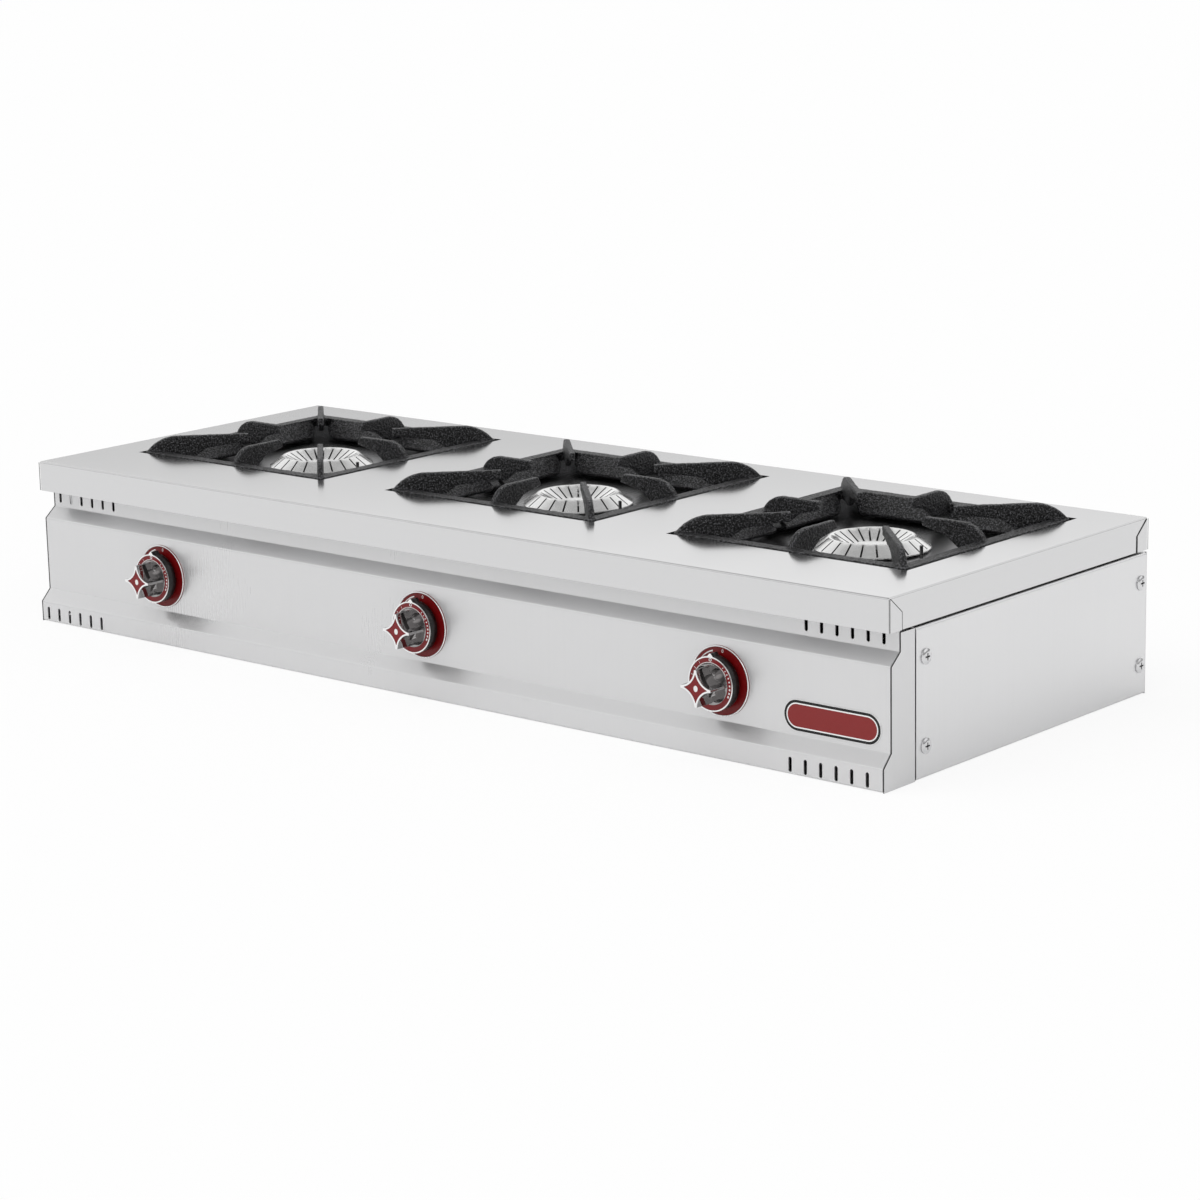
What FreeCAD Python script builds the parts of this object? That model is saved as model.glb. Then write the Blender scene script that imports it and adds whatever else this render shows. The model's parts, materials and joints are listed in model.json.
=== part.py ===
import FreeCAD, Part
import math
import os
import Sketcher

# Three-burner countertop gas range.
# Frame: millimetres, +Z up, front towards -Y, +X to the right when facing the front.
# Origin: on the resting surface, under the centre of the footprint.

Vector = FreeCAD.Vector
Rotation = FreeCAD.Rotation

# ---------------------------------------------------------------- driving dimensions

CASING_SIZES = {
    "hob_width": 1200.0,
    "hob_depth": 450.0,
    "hob_height": 186.0,
    "hob_sheet": 1.5,
    "hob_edge_radius": 2.0,
    "skirt_drop": 34.0,
    "tab_sheet": 0.8,
    "tab_width": 19.8,
    "tab_mitre": 17.0,
    "cutout_side": 298.0,
    "cutout_end_margin": 55.0,
    "cutout_rear_margin": 48.0,
    "panel_sheet": 1.2,
    "bend_radius": 1.8,
    "shadow_gap": 2.5,
    "bottom_flange": 20.0,
    "top_flange": 15.0,
    "panel_joggle": 14.0,
    "slot_zone_setback": 19.0,
    "slot_zone_drop": 55.0,
    "face_setback": 4.5,
    "face_drop": 67.0,
    "face_bottom": 36.0,
    "kick_reach": 8.0,
    "kick_top": 23.0,
    "cheek_depth": 41.5,
    "cheek_gap": 2.0,
    "cheek_sheet": 1.0,
    "cheek_tab": 18.0,
    "slot_pitch": 18.2,
    "slot_width": 4.0,
    "slot_length": 15.0,
    "slot_margin": 16.2,
    "fascia_shift": -4.0,
    "upper_slot_drop": 43.0,
    "lower_slot_height": 10.0,
    "post_leg": 22.0,
    "post_sheet": 1.5,
    "rail_width": 20.0,
    "rail_sheet": 1.5,
    "rail_spacing": 48.0,
    "badge_length": 114.0,
    "badge_height": 31.0,
    "badge_sheet": 1.2,
    "badge_end_margin": 69.5,
    "badge_centre_z": 56.0,
}

SCREW_SIZES = {
    "screw_head_radius": 7.85,
    "screw_head_height": 2.6,
    "screw_edge_height": 1.2,
    "screw_crown_radius": 4.9,
    "screw_crown_drop": 0.2,
    "screw_shank_radius": 2.4,
    "screw_length": 9.0,
    "screw_cross": 7.0,
    "screw_cross_width": 1.4,
    "screw_cross_depth": 1.6,
    "side_screw_front": 59.0,
    "side_screw_back": 11.5,
    "side_screw_low": 31.5,
    "side_screw_drop": 30.8,
}

HOB_SIZES = {
    "seat_gap": 0.3,
    "well_sheet": 1.0,
    "well_flange": 14.0,
    "well_floor_drop": 24.0,
    "well_ledge": 12.0,
    "well_hole_radius": 53.5,
    "grate_gap": 3.0,
    "grate_top": 1.0,
    "grate_rim_height": 10.0,
    "grate_rim_width": 14.0,
    "grate_corner_radius": 9.0,
    "finger_rise": 17.8,
    "finger_width": 6.5,
    "finger_tip_drop": 9.0,
    "finger_tip_lean": 4.5,
    "finger_belly_height": 2.5,
    "side_finger_tip": 67.0,
    "side_finger_shoulder": 113.0,
    "side_finger_belly": 91.0,
    "side_finger_heel": 107.0,
    "corner_finger_tip": 83.5,
    "corner_finger_shoulder": 166.0,
    "corner_finger_inset": 2.0,
    "corner_finger_belly": 132.0,
    "corner_finger_heel": 148.0,
    "apron_sheet": 6.0,
    "apron_slope_length": 24.0,
    "apron_inner_end": 9.0,
    "apron_outer_end": 113.0,
    "apron_bevel": 12.0,
    "crown_base_radius": 60.0,
    "crown_ridge_radius": 43.5,
    "crown_ridge_drop": 10.0,
    "crown_base_drop": 22.0,
    "crown_centre_radius": 22.5,
    "crown_centre_drop": 21.0,
    "crown_sheet": 2.0,
    "crown_spigot_radius": 47.7,
    "crown_spigot_height": 5.0,
    "crown_slot_width": 1.9,
    "crown_slot_inset": 1.0,
    "crown_slot_land": 0.3,
    "crown_ridge_width": 3.0,
    "crown_rim": 1.2,
    "crown_roof_drop": 5.3,
    "crown_crest_drop": 3.6,
    "probe_radius": 1.8,
    "probe_offset_x": 65.8,
    "probe_offset_y": -7.0,
    "probe_top_drop": 11.0,
    "probe_nut_radius": 5.5,
    "probe_nut_height": 4.0,
    "lead_radius": 1.2,
    "lead_bend": 7.0,
    "lead_rise": 16.5,
}

BURNER_SIZES = {
    "mixing_drop": 50.0,
    "head_radius": 52.0,
    "head_wall": 4.0,
    "head_skirt_drop": 14.0,
    "head_foot_radius": 34.0,
    "head_foot_height": 7.0,
    "mixing_radius": 15.0,
    "mixing_wall": 3.0,
    "supply_run": 29.0,
    "mouth_radius": 20.0,
    "mouth_length": 14.0,
    "air_gap": 19.0,
    "jet_plate": 4.0,
    "jet_plate_radius": 20.0,
    "air_rib_width": 4.0,
    "air_rib_inset": 0.5,
    "air_rib_height": 10.0,
    "jet_thread_radius": 5.0,
    "jet_thread_length": 8.0,
    "jet_tip_length": 6.0,
    "jet_tip_radius": 2.5,
    "jet_bore_radius": 0.8,
    "jet_head_radius": 8.0,
    "jet_head_length": 22.0,
    "tube_radius": 4.0,
    "tube_bore_radius": 3.0,
    "tube_bend": 16.0,
}

TAP_SIZES = {
    "knob_spread": 3.2,
    "knob_drop": 2.0,
    "bezel_radius": 35.5,
    "bezel_sheet": 1.0,
    "bezel_hole_radius": 7.0,
    "knob_gap": 4.3,
    "knob_radius": 27.5,
    "knob_thickness": 10.5,
    "knob_wall": 2.5,
    "knob_hub_radius": 8.0,
    "pointer_reach": 2.8,
    "pointer_width": 7.0,
    "pointer_tip_width": 1.6,
    "star_reach": 23.0,
    "star_tip": 18.5,
    "star_root": 19.2,
    "star_tip_width": 2.6,
    "star_waist": 6.2,
    "star_face": 9.5,
    "star_border": 1.7,
    "star_tip_border": 4.4,
    "diamond_tip_width": 0.65,
    "inset_depth": 0.8,
    "inset_sheet": 0.6,
    "inset_gap": 0.1,
    "dish_radius": 8.4,
    "dish_offset": 8.6,
    "dish_depth": 3.4,
    "ring_inner_radius": 20.9,
    "ring_outer_radius": 26.3,
    "running_gap": 0.05,
    "spindle_radius": 4.0,
    "spindle_square": 5.0,
    "spindle_in_knob": 7.5,
    "spindle_in_plug": 6.7,
    "spindle_travel": 3.0,
    "spindle_end_gap": 1.0,
    "collar_radius": 6.2,
    "collar_sheet": 1.5,
    "nose_setback": 8.5,
    "nose_radius": 9.0,
    "nose_wall": 1.5,
    "nose_length": 12.0,
    "nose_cavity_radius": 6.6,
    "barrel_radius": 14.5,
    "barrel_length": 40.0,
    "plug_radius": 8.0,
    "plug_inset": 3.0,
    "plug_length": 28.0,
    "port_radius": 7.0,
    "port_height": 20.0,
    "port_station": 21.0,
    "magnet_radius": 8.0,
    "magnet_reach": 24.0,
    "magnet_station": 29.5,
    "tail_radius": 9.0,
    "tail_length": 10.0,
    "flange_width": 34.0,
    "flange_height": 24.0,
    "flange_sheet": 4.0,
    "spring_radius": 5.4,
    "spring_wire_radius": 0.5,
    "spring_turns": 5.0,
    "spring_end_gap": 0.2,
}

GAS_SIZES = {
    "gas_pipe_radius": 10.65,
    "gas_pipe_wall": 2.65,
    "gas_rail_overhang": 30.0,
    "inlet_end_margin": 103.0,
    "inlet_bend": 27.0,
    "inlet_reach": 35.0,
    "inlet_thread_radius": 10.48,
    "inlet_thread_length": 16.0,
    "inlet_thread_chamfer": 1.0,
    "inlet_collar_flats": 32.0,
    "inlet_collar_height": 6.0,
    "inlet_hole_gap": 1.0,
    "bracket_sheet": 3.0,
    "bracket_depth": 26.0,
    "bracket_rise": 14.0,
    "bracket_margin": 4.0,
    "bracket_toe_drop": 3.6,
}

OVERCUT = 1.0
TOUCH = 0.01
APRON_SLOPE = 45
DISH_TAPER = -35
SLOTS_PER_GROUP = 6
CROWN_SLOTS = 22
GRATE_SIDES = 4
PLACES = {"left": -1, "middle": 0, "right": 1}
SIDES = {"left": -1, "right": 1}


class Size:
    """A number together with the sheet formula that it comes from."""

    def __init__(self, value, formula):
        self.value = float(value)
        self.formula = formula

    def __add__(self, other):
        return join(self, "+", other, self.value + as_size(other).value)

    def __sub__(self, other):
        return join(self, "-", other, self.value - as_size(other).value)

    def __mul__(self, other):
        return join(self, "*", other, self.value * as_size(other).value)

    def __truediv__(self, other):
        return join(self, "/", other, self.value / as_size(other).value)

    def __radd__(self, other):
        return as_size(other) + self

    def __rsub__(self, other):
        return as_size(other) - self

    def __rmul__(self, other):
        return as_size(other) * self

    def __neg__(self):
        return Size(-self.value, f"(0 - {self.formula})")


def as_size(number):
    if isinstance(number, Size):
        return number
    return Size(number, repr(float(number)))


def join(left, sign, right, value):
    return Size(value, f"({as_size(left).formula} {sign} {as_size(right).formula})")


doc = FreeCAD.newDocument("gas_range")
sheet = doc.addObject("Spreadsheet::Sheet", "Sizes")


def fill_sheet():
    """Write every driving dimension to the sheet and return them as named sizes."""
    named = {}
    row = 1
    for group in (CASING_SIZES, SCREW_SIZES, HOB_SIZES, BURNER_SIZES, TAP_SIZES, GAS_SIZES):
        for name, value in group.items():
            sheet.set(f"A{row}", name)
            sheet.set(f"B{row}", str(value))
            sheet.setAlias(f"B{row}", name)
            named[name] = Size(value, f"Sizes.{name}")
            row += 1
    doc.recompute()
    return named


class Named:
    """Attribute access to the sizes."""

    def __init__(self, values):
        self.__dict__.update(values)


S = Named(fill_sheet())

# ---------------------------------------------------------------- sketch helpers


def bind(target, path, size):
    target.setExpression(path, as_size(size).formula)


def new_body(name):
    body = doc.addObject("PartDesign::Body", name)
    body.Label = name
    return body


def place(body, x=0.0, y=0.0, z=0.0):
    body.Placement = FreeCAD.Placement(
        Vector(as_size(x).value, as_size(y).value, as_size(z).value), Rotation()
    )
    bind(body, "Placement.Base.x", x)
    bind(body, "Placement.Base.y", y)
    bind(body, "Placement.Base.z", z)
    return body


def datum(body, role):
    for feature in body.Origin.OriginFeatures:
        if feature.Role == role:
            return feature
    raise RuntimeError(f"no origin feature {role}")


def new_sketch(body, name, role, height=0.0):
    """A sketch on one of the body's own origin planes, lifted along the plane's normal."""
    sketch = body.newObject("Sketcher::SketchObject", f"{body.Name}_{name}")
    sketch.AttachmentSupport = [(datum(body, role), "")]
    sketch.MapMode = "FlatFace"
    lift = as_size(height)
    sketch.AttachmentOffset = FreeCAD.Placement(Vector(0, 0, lift.value), Rotation())
    bind(sketch, "AttachmentOffset.Base.z", lift)
    return sketch


def pin(sketch, kind, where, size):
    size = as_size(size)
    index = sketch.addConstraint(Sketcher.Constraint(kind, *where, size.value))
    bind(sketch, f"Constraints[{index}]", size)


def pin_point(sketch, edge, end, point):
    pin(sketch, "DistanceX", (-1, 1, edge, end), point[0])
    pin(sketch, "DistanceY", (-1, 1, edge, end), point[1])


def flat_point(point):
    return Vector(as_size(point[0]).value, as_size(point[1]).value, 0)


def signed_arc(start, end, radius):
    """The arc from start to end that turns left for a positive radius, right for a negative."""
    chord = end - start
    half = chord.Length / 2
    size = abs(radius)
    rise = math.sqrt(max(size * size - half * half, 0))
    left = Vector(-chord.y, chord.x, 0).normalize()
    side = 1 if radius > 0 else -1
    centre = start + chord * 0.5 + left * (rise * side)
    first, last = (start, end) if side > 0 else (end, start)
    begin = math.atan2(first.y - centre.y, first.x - centre.x)
    finish = math.atan2(last.y - centre.y, last.x - centre.x)
    if finish <= begin:
        finish += 2 * math.pi
    circle = Part.Circle(centre, Vector(0, 0, 1), size)
    return Part.ArcOfCircle(circle, begin, finish)


def add_outline(sketch, points):
    """A closed outline through the points. A third entry is the radius of the arc that
    arrives at that point: positive turns left, negative turns right."""
    count = len(points)
    ends = []
    first = sketch.GeometryCount
    for index in range(count):
        start = points[index]
        end = points[(index + 1) % count]
        if len(end) == 3:
            radius = as_size(end[2])
            arc = signed_arc(flat_point(start), flat_point(end), radius.value)
            sketch.addGeometry(arc, False)
            ends.append((1, 2) if radius.value > 0 else (2, 1))
        else:
            sketch.addGeometry(Part.LineSegment(flat_point(start), flat_point(end)), False)
            ends.append((1, 2))
    for index in range(count):
        following = (index + 1) % count
        sketch.addConstraint(Sketcher.Constraint(
            "Coincident", first + index, ends[index][1], first + following, ends[following][0]
        ))
    for index in range(count):
        pin_point(sketch, first + index, ends[index][0], points[index])
    for index in range(count):
        end = points[(index + 1) % count]
        if len(end) == 3:
            radius = as_size(end[2])
            positive = radius if radius.value > 0 else -radius
            pin(sketch, "Radius", (first + index,), positive)


def add_rectangle(sketch, x0, y0, x1, y1):
    add_outline(sketch, [(x0, y0), (x1, y0), (x1, y1), (x0, y1)])


def add_circle(sketch, x, y, radius):
    circle = Part.Circle(flat_point((x, y)), Vector(0, 0, 1), as_size(radius).value)
    index = sketch.addGeometry(circle, False)
    pin_point(sketch, index, 3, (x, y))
    pin(sketch, "Radius", (index,), radius)


def add_slot(sketch, x, y, width, length, upright=True):
    """A slot with round ends, centred on the point."""
    radius = width / 2
    reach = (length - width) / 2
    step = (0, reach) if upright else (reach, 0)
    far = (x + step[0], y + step[1])
    near = (x - step[0], y - step[1])
    turn = 0 if upright else -math.pi / 2
    size = as_size(radius).value
    up = Vector(0, 0, 1)
    a, b = flat_point(far), flat_point(near)
    side = Vector(size, 0, 0) if upright else Vector(0, -size, 0)
    first = sketch.addGeometry(Part.ArcOfCircle(Part.Circle(a, up, size), turn, turn + math.pi))
    sketch.addGeometry(Part.LineSegment(a - side, b - side))
    sketch.addGeometry(Part.ArcOfCircle(Part.Circle(b, up, size), turn + math.pi, turn + 2 * math.pi))
    sketch.addGeometry(Part.LineSegment(b + side, a + side))
    for index in range(4):
        sketch.addConstraint(Sketcher.Constraint(
            "Tangent", first + index, 2, first + (index + 1) % 4, 1
        ))
    sketch.addConstraint(Sketcher.Constraint("Equal", first, first + 2))
    pin_point(sketch, first, 3, far)
    pin_point(sketch, first + 2, 3, near)
    pin(sketch, "Radius", (first,), radius)


def inner_corners(points, thickness):
    """Where the inside corners of a bent sheet lie, to the left of its outer line."""
    flats = []
    for start, end in zip(points, points[1:]):
        along = (end - start).normalize()
        flats.append((start, along, Vector(-along.y, along.x, 0)))
    corners = [points[0] + flats[0][2] * thickness]
    for (_, before, left), (joint, after, _) in zip(flats, flats[1:]):
        turn = before.getAngle(after)
        bend = before.x * after.y - before.y * after.x
        shift = math.tan(turn / 2) * (thickness if bend > 0 else -thickness)
        corners.append(joint + left * thickness - before * shift)
    corners.append(points[-1] + flats[-1][2] * thickness)
    return corners


def add_folded_sheet(sketch, points, thickness):
    """The section of a bent sheet: flats through the outer points and their offset, which
    lies to the left of the line."""
    outer = [flat_point(point) for point in points]
    inner = inner_corners(outer, as_size(thickness).value)
    flats = len(points) - 1
    first = sketch.GeometryCount
    for chain in (outer, inner):
        for start, end in zip(chain, chain[1:]):
            sketch.addGeometry(Part.LineSegment(start, end), False)
    sketch.addGeometry(Part.LineSegment(outer[0], inner[0]), False)
    sketch.addGeometry(Part.LineSegment(outer[-1], inner[-1]), False)
    second = first + flats
    near_cap = second + flats
    far_cap = near_cap + 1
    rules = []
    for index in range(flats - 1):
        rules.append(("Coincident", first + index, 2, first + index + 1, 1))
        rules.append(("Coincident", second + index, 2, second + index + 1, 1))
    rules.append(("Coincident", near_cap, 1, first, 1))
    rules.append(("Coincident", near_cap, 2, second, 1))
    rules.append(("Coincident", far_cap, 1, first + flats - 1, 2))
    rules.append(("Coincident", far_cap, 2, second + flats - 1, 2))
    rules.append(("Perpendicular", near_cap, first))
    rules.append(("Perpendicular", far_cap, first + flats - 1))
    for index in range(flats):
        rules.append(("Parallel", first + index, second + index))
    for rule in rules:
        sketch.addConstraint(Sketcher.Constraint(*rule))
    for index in range(flats):
        pin_point(sketch, first + index, 1, points[index])
        pin(sketch, "Distance", (second + index, 1, first + index), thickness)
    pin_point(sketch, first + flats - 1, 2, points[-1])


# ---------------------------------------------------------------- feature helpers


def pad(body, sketch, length, side="One side", backwards=False):
    feature = body.newObject("PartDesign::Pad", f"{sketch.Name}_pad")
    feature.Profile = sketch
    feature.SideType = side
    feature.Reversed = backwards
    bind(feature, "Length", length)
    body.Tip = feature
    return feature


def pocket(body, sketch, length, side="One side", backwards=False):
    feature = body.newObject("PartDesign::Pocket", f"{sketch.Name}_pocket")
    feature.Profile = sketch
    feature.SideType = side
    feature.Reversed = backwards
    bind(feature, "Length", length)
    body.Tip = feature
    return feature


def turn(body, sketch, role, kind="PartDesign::Revolution"):
    feature = body.newObject(kind, f"{sketch.Name}_turn")
    feature.Profile = sketch
    feature.ReferenceAxis = (datum(body, role), [""])
    feature.Angle = 360
    body.Tip = feature
    return feature


def repeat_round(body, features, role, count):
    feature = body.newObject("PartDesign::PolarPattern", f"{features[0].Name}_round")
    feature.Originals = features
    feature.Axis = (datum(body, role), [""])
    feature.Angle = 360
    feature.Occurrences = count
    body.Tip = feature
    return feature


def pick_edges(body, chosen):
    """The body's last feature and the names of its edges that the test picks."""
    doc.recompute()
    names = []
    for index, edge in enumerate(body.Tip.Shape.Edges):
        if chosen(edge):
            names.append(f"Edge{index + 1}")
    if not names:
        raise RuntimeError(f"{body.Name}: no edge is picked")
    return body.Tip, names


def round_edges(body, chosen, radius):
    base, names = pick_edges(body, chosen)
    feature = body.newObject("PartDesign::Fillet", f"{base.Name}_round")
    feature.Base = (base, names)
    bind(feature, "Radius", radius)
    body.Tip = feature
    return feature


def chamfer_edges(body, chosen, size):
    base, names = pick_edges(body, chosen)
    feature = body.newObject("PartDesign::Chamfer", f"{base.Name}_chamfer")
    feature.Base = (base, names)
    bind(feature, "Size", size)
    body.Tip = feature
    return feature


def lies_at(edge, corner, axis):
    """True for a straight edge along the axis that passes through the corner."""
    if edge.Curve.TypeId != "Part::GeomLine":
        return False
    start = edge.Vertexes[0].Point
    along = edge.Vertexes[-1].Point - start
    if abs(along.dot(axis)) < along.Length - TOUCH:
        return False
    return (start - corner).cross(axis).Length < TOUCH


def round_bends(body, section, points, thickness, axis):
    """Round both faces of a bent sheet at each of its bends, about one bend radius."""
    outer = [flat_point(point) for point in points]
    inner = inner_corners(outer, as_size(thickness).value)
    inside = S.bend_radius
    outside = S.bend_radius + thickness
    for index in range(1, len(outer) - 1):
        before = outer[index] - outer[index - 1]
        after = outer[index + 1] - outer[index]
        turns_left = before.x * after.y - before.y * after.x > 0
        for corner, radius in (
            (outer[index], outside if turns_left else inside),
            (inner[index], inside if turns_left else outside),
        ):
            place_there = section.Placement.multVec(corner)
            round_edges(body, lambda edge: lies_at(edge, place_there, axis), radius)


def is_upright(edge):
    """True for a straight edge along Z."""
    if edge.Curve.TypeId != "Part::GeomLine":
        return False
    along = edge.Vertexes[-1].Point - edge.Vertexes[0].Point
    return abs(along.z) > along.Length - TOUCH


# ---------------------------------------------------------------- shared positions

half_width = S.hob_width / 2
half_depth = S.hob_depth / 2
burner_pitch = half_width - S.cutout_end_margin - S.cutout_side / 2
burner_row = half_depth - S.cutout_rear_margin - S.cutout_side / 2
knob_pitch = burner_pitch + S.knob_spread
slot_zone_bottom = S.hob_height - S.slot_zone_drop
face_top = S.hob_height - S.face_drop
upper_slot_height = S.hob_height - S.upper_slot_drop
knob_height = (face_top + S.face_bottom) / 2 - S.knob_drop
lead_height = knob_height + S.lead_rise
mixing_height = S.hob_height - S.mixing_drop
inlet_x = half_width - S.inlet_end_margin
front = -half_depth
side_plane = half_width - S.tab_sheet
panel_top = S.hob_height - S.skirt_drop - S.shadow_gap
side_screw_high = panel_top - S.side_screw_drop
under_hob = S.hob_height - S.hob_sheet
face_plane = front + S.face_setback
cheek_back = front + S.cheek_depth
side_inner = side_plane - S.panel_sheet
cheek_inner = side_plane - S.cheek_sheet
fascia_half = side_plane - S.hob_sheet - S.seat_gap
rear_plane = half_depth - S.seat_gap
rear_inner = rear_plane - S.panel_sheet
grate_half = S.cutout_side / 2 - S.grate_gap
crown_seat = S.hob_height - S.crown_base_drop - S.seat_gap
burner_foot = mixing_height - S.mixing_radius - S.head_wall
barrel_front = S.nose_setback + S.nose_length
barrel_back = barrel_front + S.barrel_length
rail_y = face_plane + barrel_back + S.tail_length + S.gas_pipe_radius
rail_end = knob_pitch + S.gas_rail_overhang
port_y = face_plane + barrel_front + S.port_station
jet_back = port_y + S.supply_run
jet_plate_front = jet_back + S.jet_head_length
mixing_length = burner_row - jet_plate_front - S.jet_plate - S.air_gap
port_top = knob_height + S.port_height


def burner_x(place_name):
    return burner_pitch * PLACES[place_name]


def knob_x(place_name):
    return knob_pitch * PLACES[place_name] + S.fascia_shift


# ---------------------------------------------------------------- casing


def make_hob_top():
    """One folded sheet: flat top with square cut-outs, skirts all round, lapped corner tabs."""
    body = place(new_body("hob_top"), z=S.hob_height - S.skirt_drop)
    plan = new_sketch(body, "plan", "XY_Plane")
    add_rectangle(plan, -side_plane, front, side_plane, half_depth)
    pad(body, plan, S.skirt_drop)
    doc.recompute()
    upper = S.skirt_drop.value - TOUCH
    round_edges(body, lambda edge: is_upright(edge) or edge.BoundBox.ZMin > upper,
                S.hob_edge_radius)
    inside = new_sketch(body, "inside", "XY_Plane")
    wall = S.hob_sheet
    add_rectangle(inside, wall - side_plane, front + wall, side_plane - wall, half_depth - wall)
    pocket(body, inside, S.skirt_drop - S.hob_sheet, backwards=True)
    holes = new_sketch(body, "cutouts", "XY_Plane", S.skirt_drop)
    half = S.cutout_side / 2
    for name in PLACES:
        x = burner_x(name)
        add_rectangle(holes, x - half, burner_row - half, x + half, burner_row + half)
    pocket(body, holes, S.hob_sheet * 2)
    tabs = []
    for label, sign in SIDES.items():
        tab = new_sketch(body, f"tab_{label}", "YZ_Plane", (side_plane - S.hob_sheet / 2) * sign)
        for edge, inward in ((front, 1), (half_depth, -1)):
            add_outline(tab, [
                (edge + S.hob_edge_radius * inward, 0),
                (edge + S.tab_width * inward, 0),
                (edge + S.tab_width * inward, S.skirt_drop - S.tab_mitre),
                (edge + S.hob_edge_radius * inward, S.skirt_drop - S.hob_edge_radius),
            ])
        tabs.append(pad(body, tab, S.tab_sheet + S.hob_sheet / 2, backwards=sign < 0))
    return body


def fascia_line():
    """The outer line of the fascia from its top flange to its bottom flange, in Y and Z."""
    slot_plane = front + S.slot_zone_setback
    kick_plane = front - S.kick_reach
    return [
        (kick_plane + S.bottom_flange, 0),
        (kick_plane, 0),
        (kick_plane, S.kick_top),
        (face_plane, S.face_bottom),
        (face_plane, face_top),
        (slot_plane, slot_zone_bottom),
        (slot_plane, under_hob),
        (slot_plane + S.top_flange, under_hob),
    ]


def add_slot_groups(sketch, height):
    """A group of upright vent slots near each end."""
    for sign in SIDES.values():
        for index in range(SLOTS_PER_GROUP):
            x = (half_width - S.slot_margin - S.slot_pitch * index) * sign + S.fascia_shift
            add_slot(sketch, x, height, S.slot_width, S.slot_length)


def make_fascia():
    body = place(new_body("fascia"))
    section = new_sketch(body, "section", "YZ_Plane")
    line = list(reversed(fascia_line()))
    add_folded_sheet(section, line, S.panel_sheet)
    pad(body, section, fascia_half * 2, side="Symmetric")
    round_bends(body, section, line, S.panel_sheet, Vector(1, 0, 0))
    holes = new_sketch(body, "tap_holes", "XZ_Plane", OVERCUT - face_plane)
    for name in PLACES:
        add_circle(holes, knob_x(name), knob_height, S.bezel_hole_radius)
    pocket(body, holes, S.panel_sheet + OVERCUT * 2)
    upper = new_sketch(body, "upper_slots", "XZ_Plane", -front)
    add_slot_groups(upper, upper_slot_height)
    pocket(body, upper, S.slot_zone_setback + S.panel_sheet + OVERCUT)
    lower = new_sketch(body, "lower_slots", "XZ_Plane", S.kick_reach - front + OVERCUT)
    add_slot_groups(lower, S.lower_slot_height)
    pocket(body, lower, S.panel_sheet + OVERCUT * 2)
    return body


def make_cheek(label, sign):
    """A plate that closes the end of the fascia, with a tab that lies on its bottom flange."""
    body = place(new_body(f"fascia_cheek_{label}"), x=cheek_inner * sign)
    outline = new_sketch(body, "outline", "YZ_Plane")
    line = fascia_line()[1:6]
    line.append((front + S.slot_zone_setback, panel_top))
    add_outline(outline, line + [(cheek_back, panel_top), (cheek_back, 0)])
    pad(body, outline, S.cheek_sheet, backwards=sign < 0)
    tab = new_sketch(body, "tab", "XY_Plane", S.panel_sheet)
    flange_front = front - S.kick_reach + S.panel_sheet + S.bend_radius
    flange_back = front - S.kick_reach + S.bottom_flange
    add_rectangle(tab, S.cheek_sheet / 2 * sign, flange_front, -S.cheek_tab * sign, flange_back)
    pad(body, tab, S.panel_sheet)
    return body


def make_side_panel(label, sign):
    """Flat outside, folded in at the bottom, joggled in under the hob's skirt at the top."""
    body = new_body(f"side_panel_{label}")
    start = cheek_back + S.cheek_gap
    place(body, y=start)
    section = new_sketch(body, "section", "XZ_Plane")
    inset = side_plane - S.panel_joggle
    line = [
        (inset - S.top_flange, under_hob),
        (inset, under_hob),
        (inset, panel_top),
        (side_plane, panel_top),
        (side_plane, 0),
        (side_plane - S.bottom_flange, 0),
    ]
    if sign > 0:
        line = list(reversed(line))
    else:
        line = [(-x, z) for x, z in line]
    add_folded_sheet(section, line, S.panel_sheet)
    pad(body, section, rear_inner - start, backwards=True)
    round_bends(body, section, line, S.panel_sheet, Vector(0, 1, 0))
    holes = new_sketch(body, "screw_holes", "YZ_Plane", (side_inner - OVERCUT) * sign)
    for y in (front + S.side_screw_front, half_depth - S.side_screw_back):
        for z in (S.side_screw_low, side_screw_high):
            add_circle(holes, y - start, z, S.screw_shank_radius + S.running_gap)
    pocket(body, holes, S.panel_sheet + OVERCUT * 2, backwards=sign > 0)
    return body


def make_rear_panel():
    """Flat outside, folded in at the bottom and joggled in under the rear skirt."""
    body = place(new_body("rear_panel"))
    section = new_sketch(body, "section", "YZ_Plane")
    inset = rear_plane - S.panel_joggle
    add_folded_sheet(section, [
        (rear_plane - S.bottom_flange, 0),
        (rear_plane, 0),
        (rear_plane, panel_top),
        (inset, panel_top),
        (inset, under_hob),
        (inset - S.top_flange, under_hob),
    ], S.panel_sheet)
    flanged = side_plane - S.panel_joggle - S.top_flange - S.cheek_gap
    pad(body, section, flanged * 2, side="Symmetric")
    wings = new_sketch(body, "wings", "XZ_Plane", -rear_plane)
    add_rectangle(wings, -side_plane, 0, side_plane, panel_top)
    pad(body, wings, S.panel_sheet)
    holes = new_sketch(body, "holes", "XZ_Plane", OVERCUT - rear_inner)
    add_circle(holes, inlet_x, knob_height, S.gas_pipe_radius + S.inlet_hole_gap)
    for sign in SIDES.values():
        for z in (S.side_screw_low, side_screw_high):
            x = (side_inner - S.post_leg / 2) * sign
            add_circle(holes, x, z, S.screw_shank_radius + S.running_gap)
    pocket(body, holes, S.panel_sheet + OVERCUT * 2)
    return body


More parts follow.
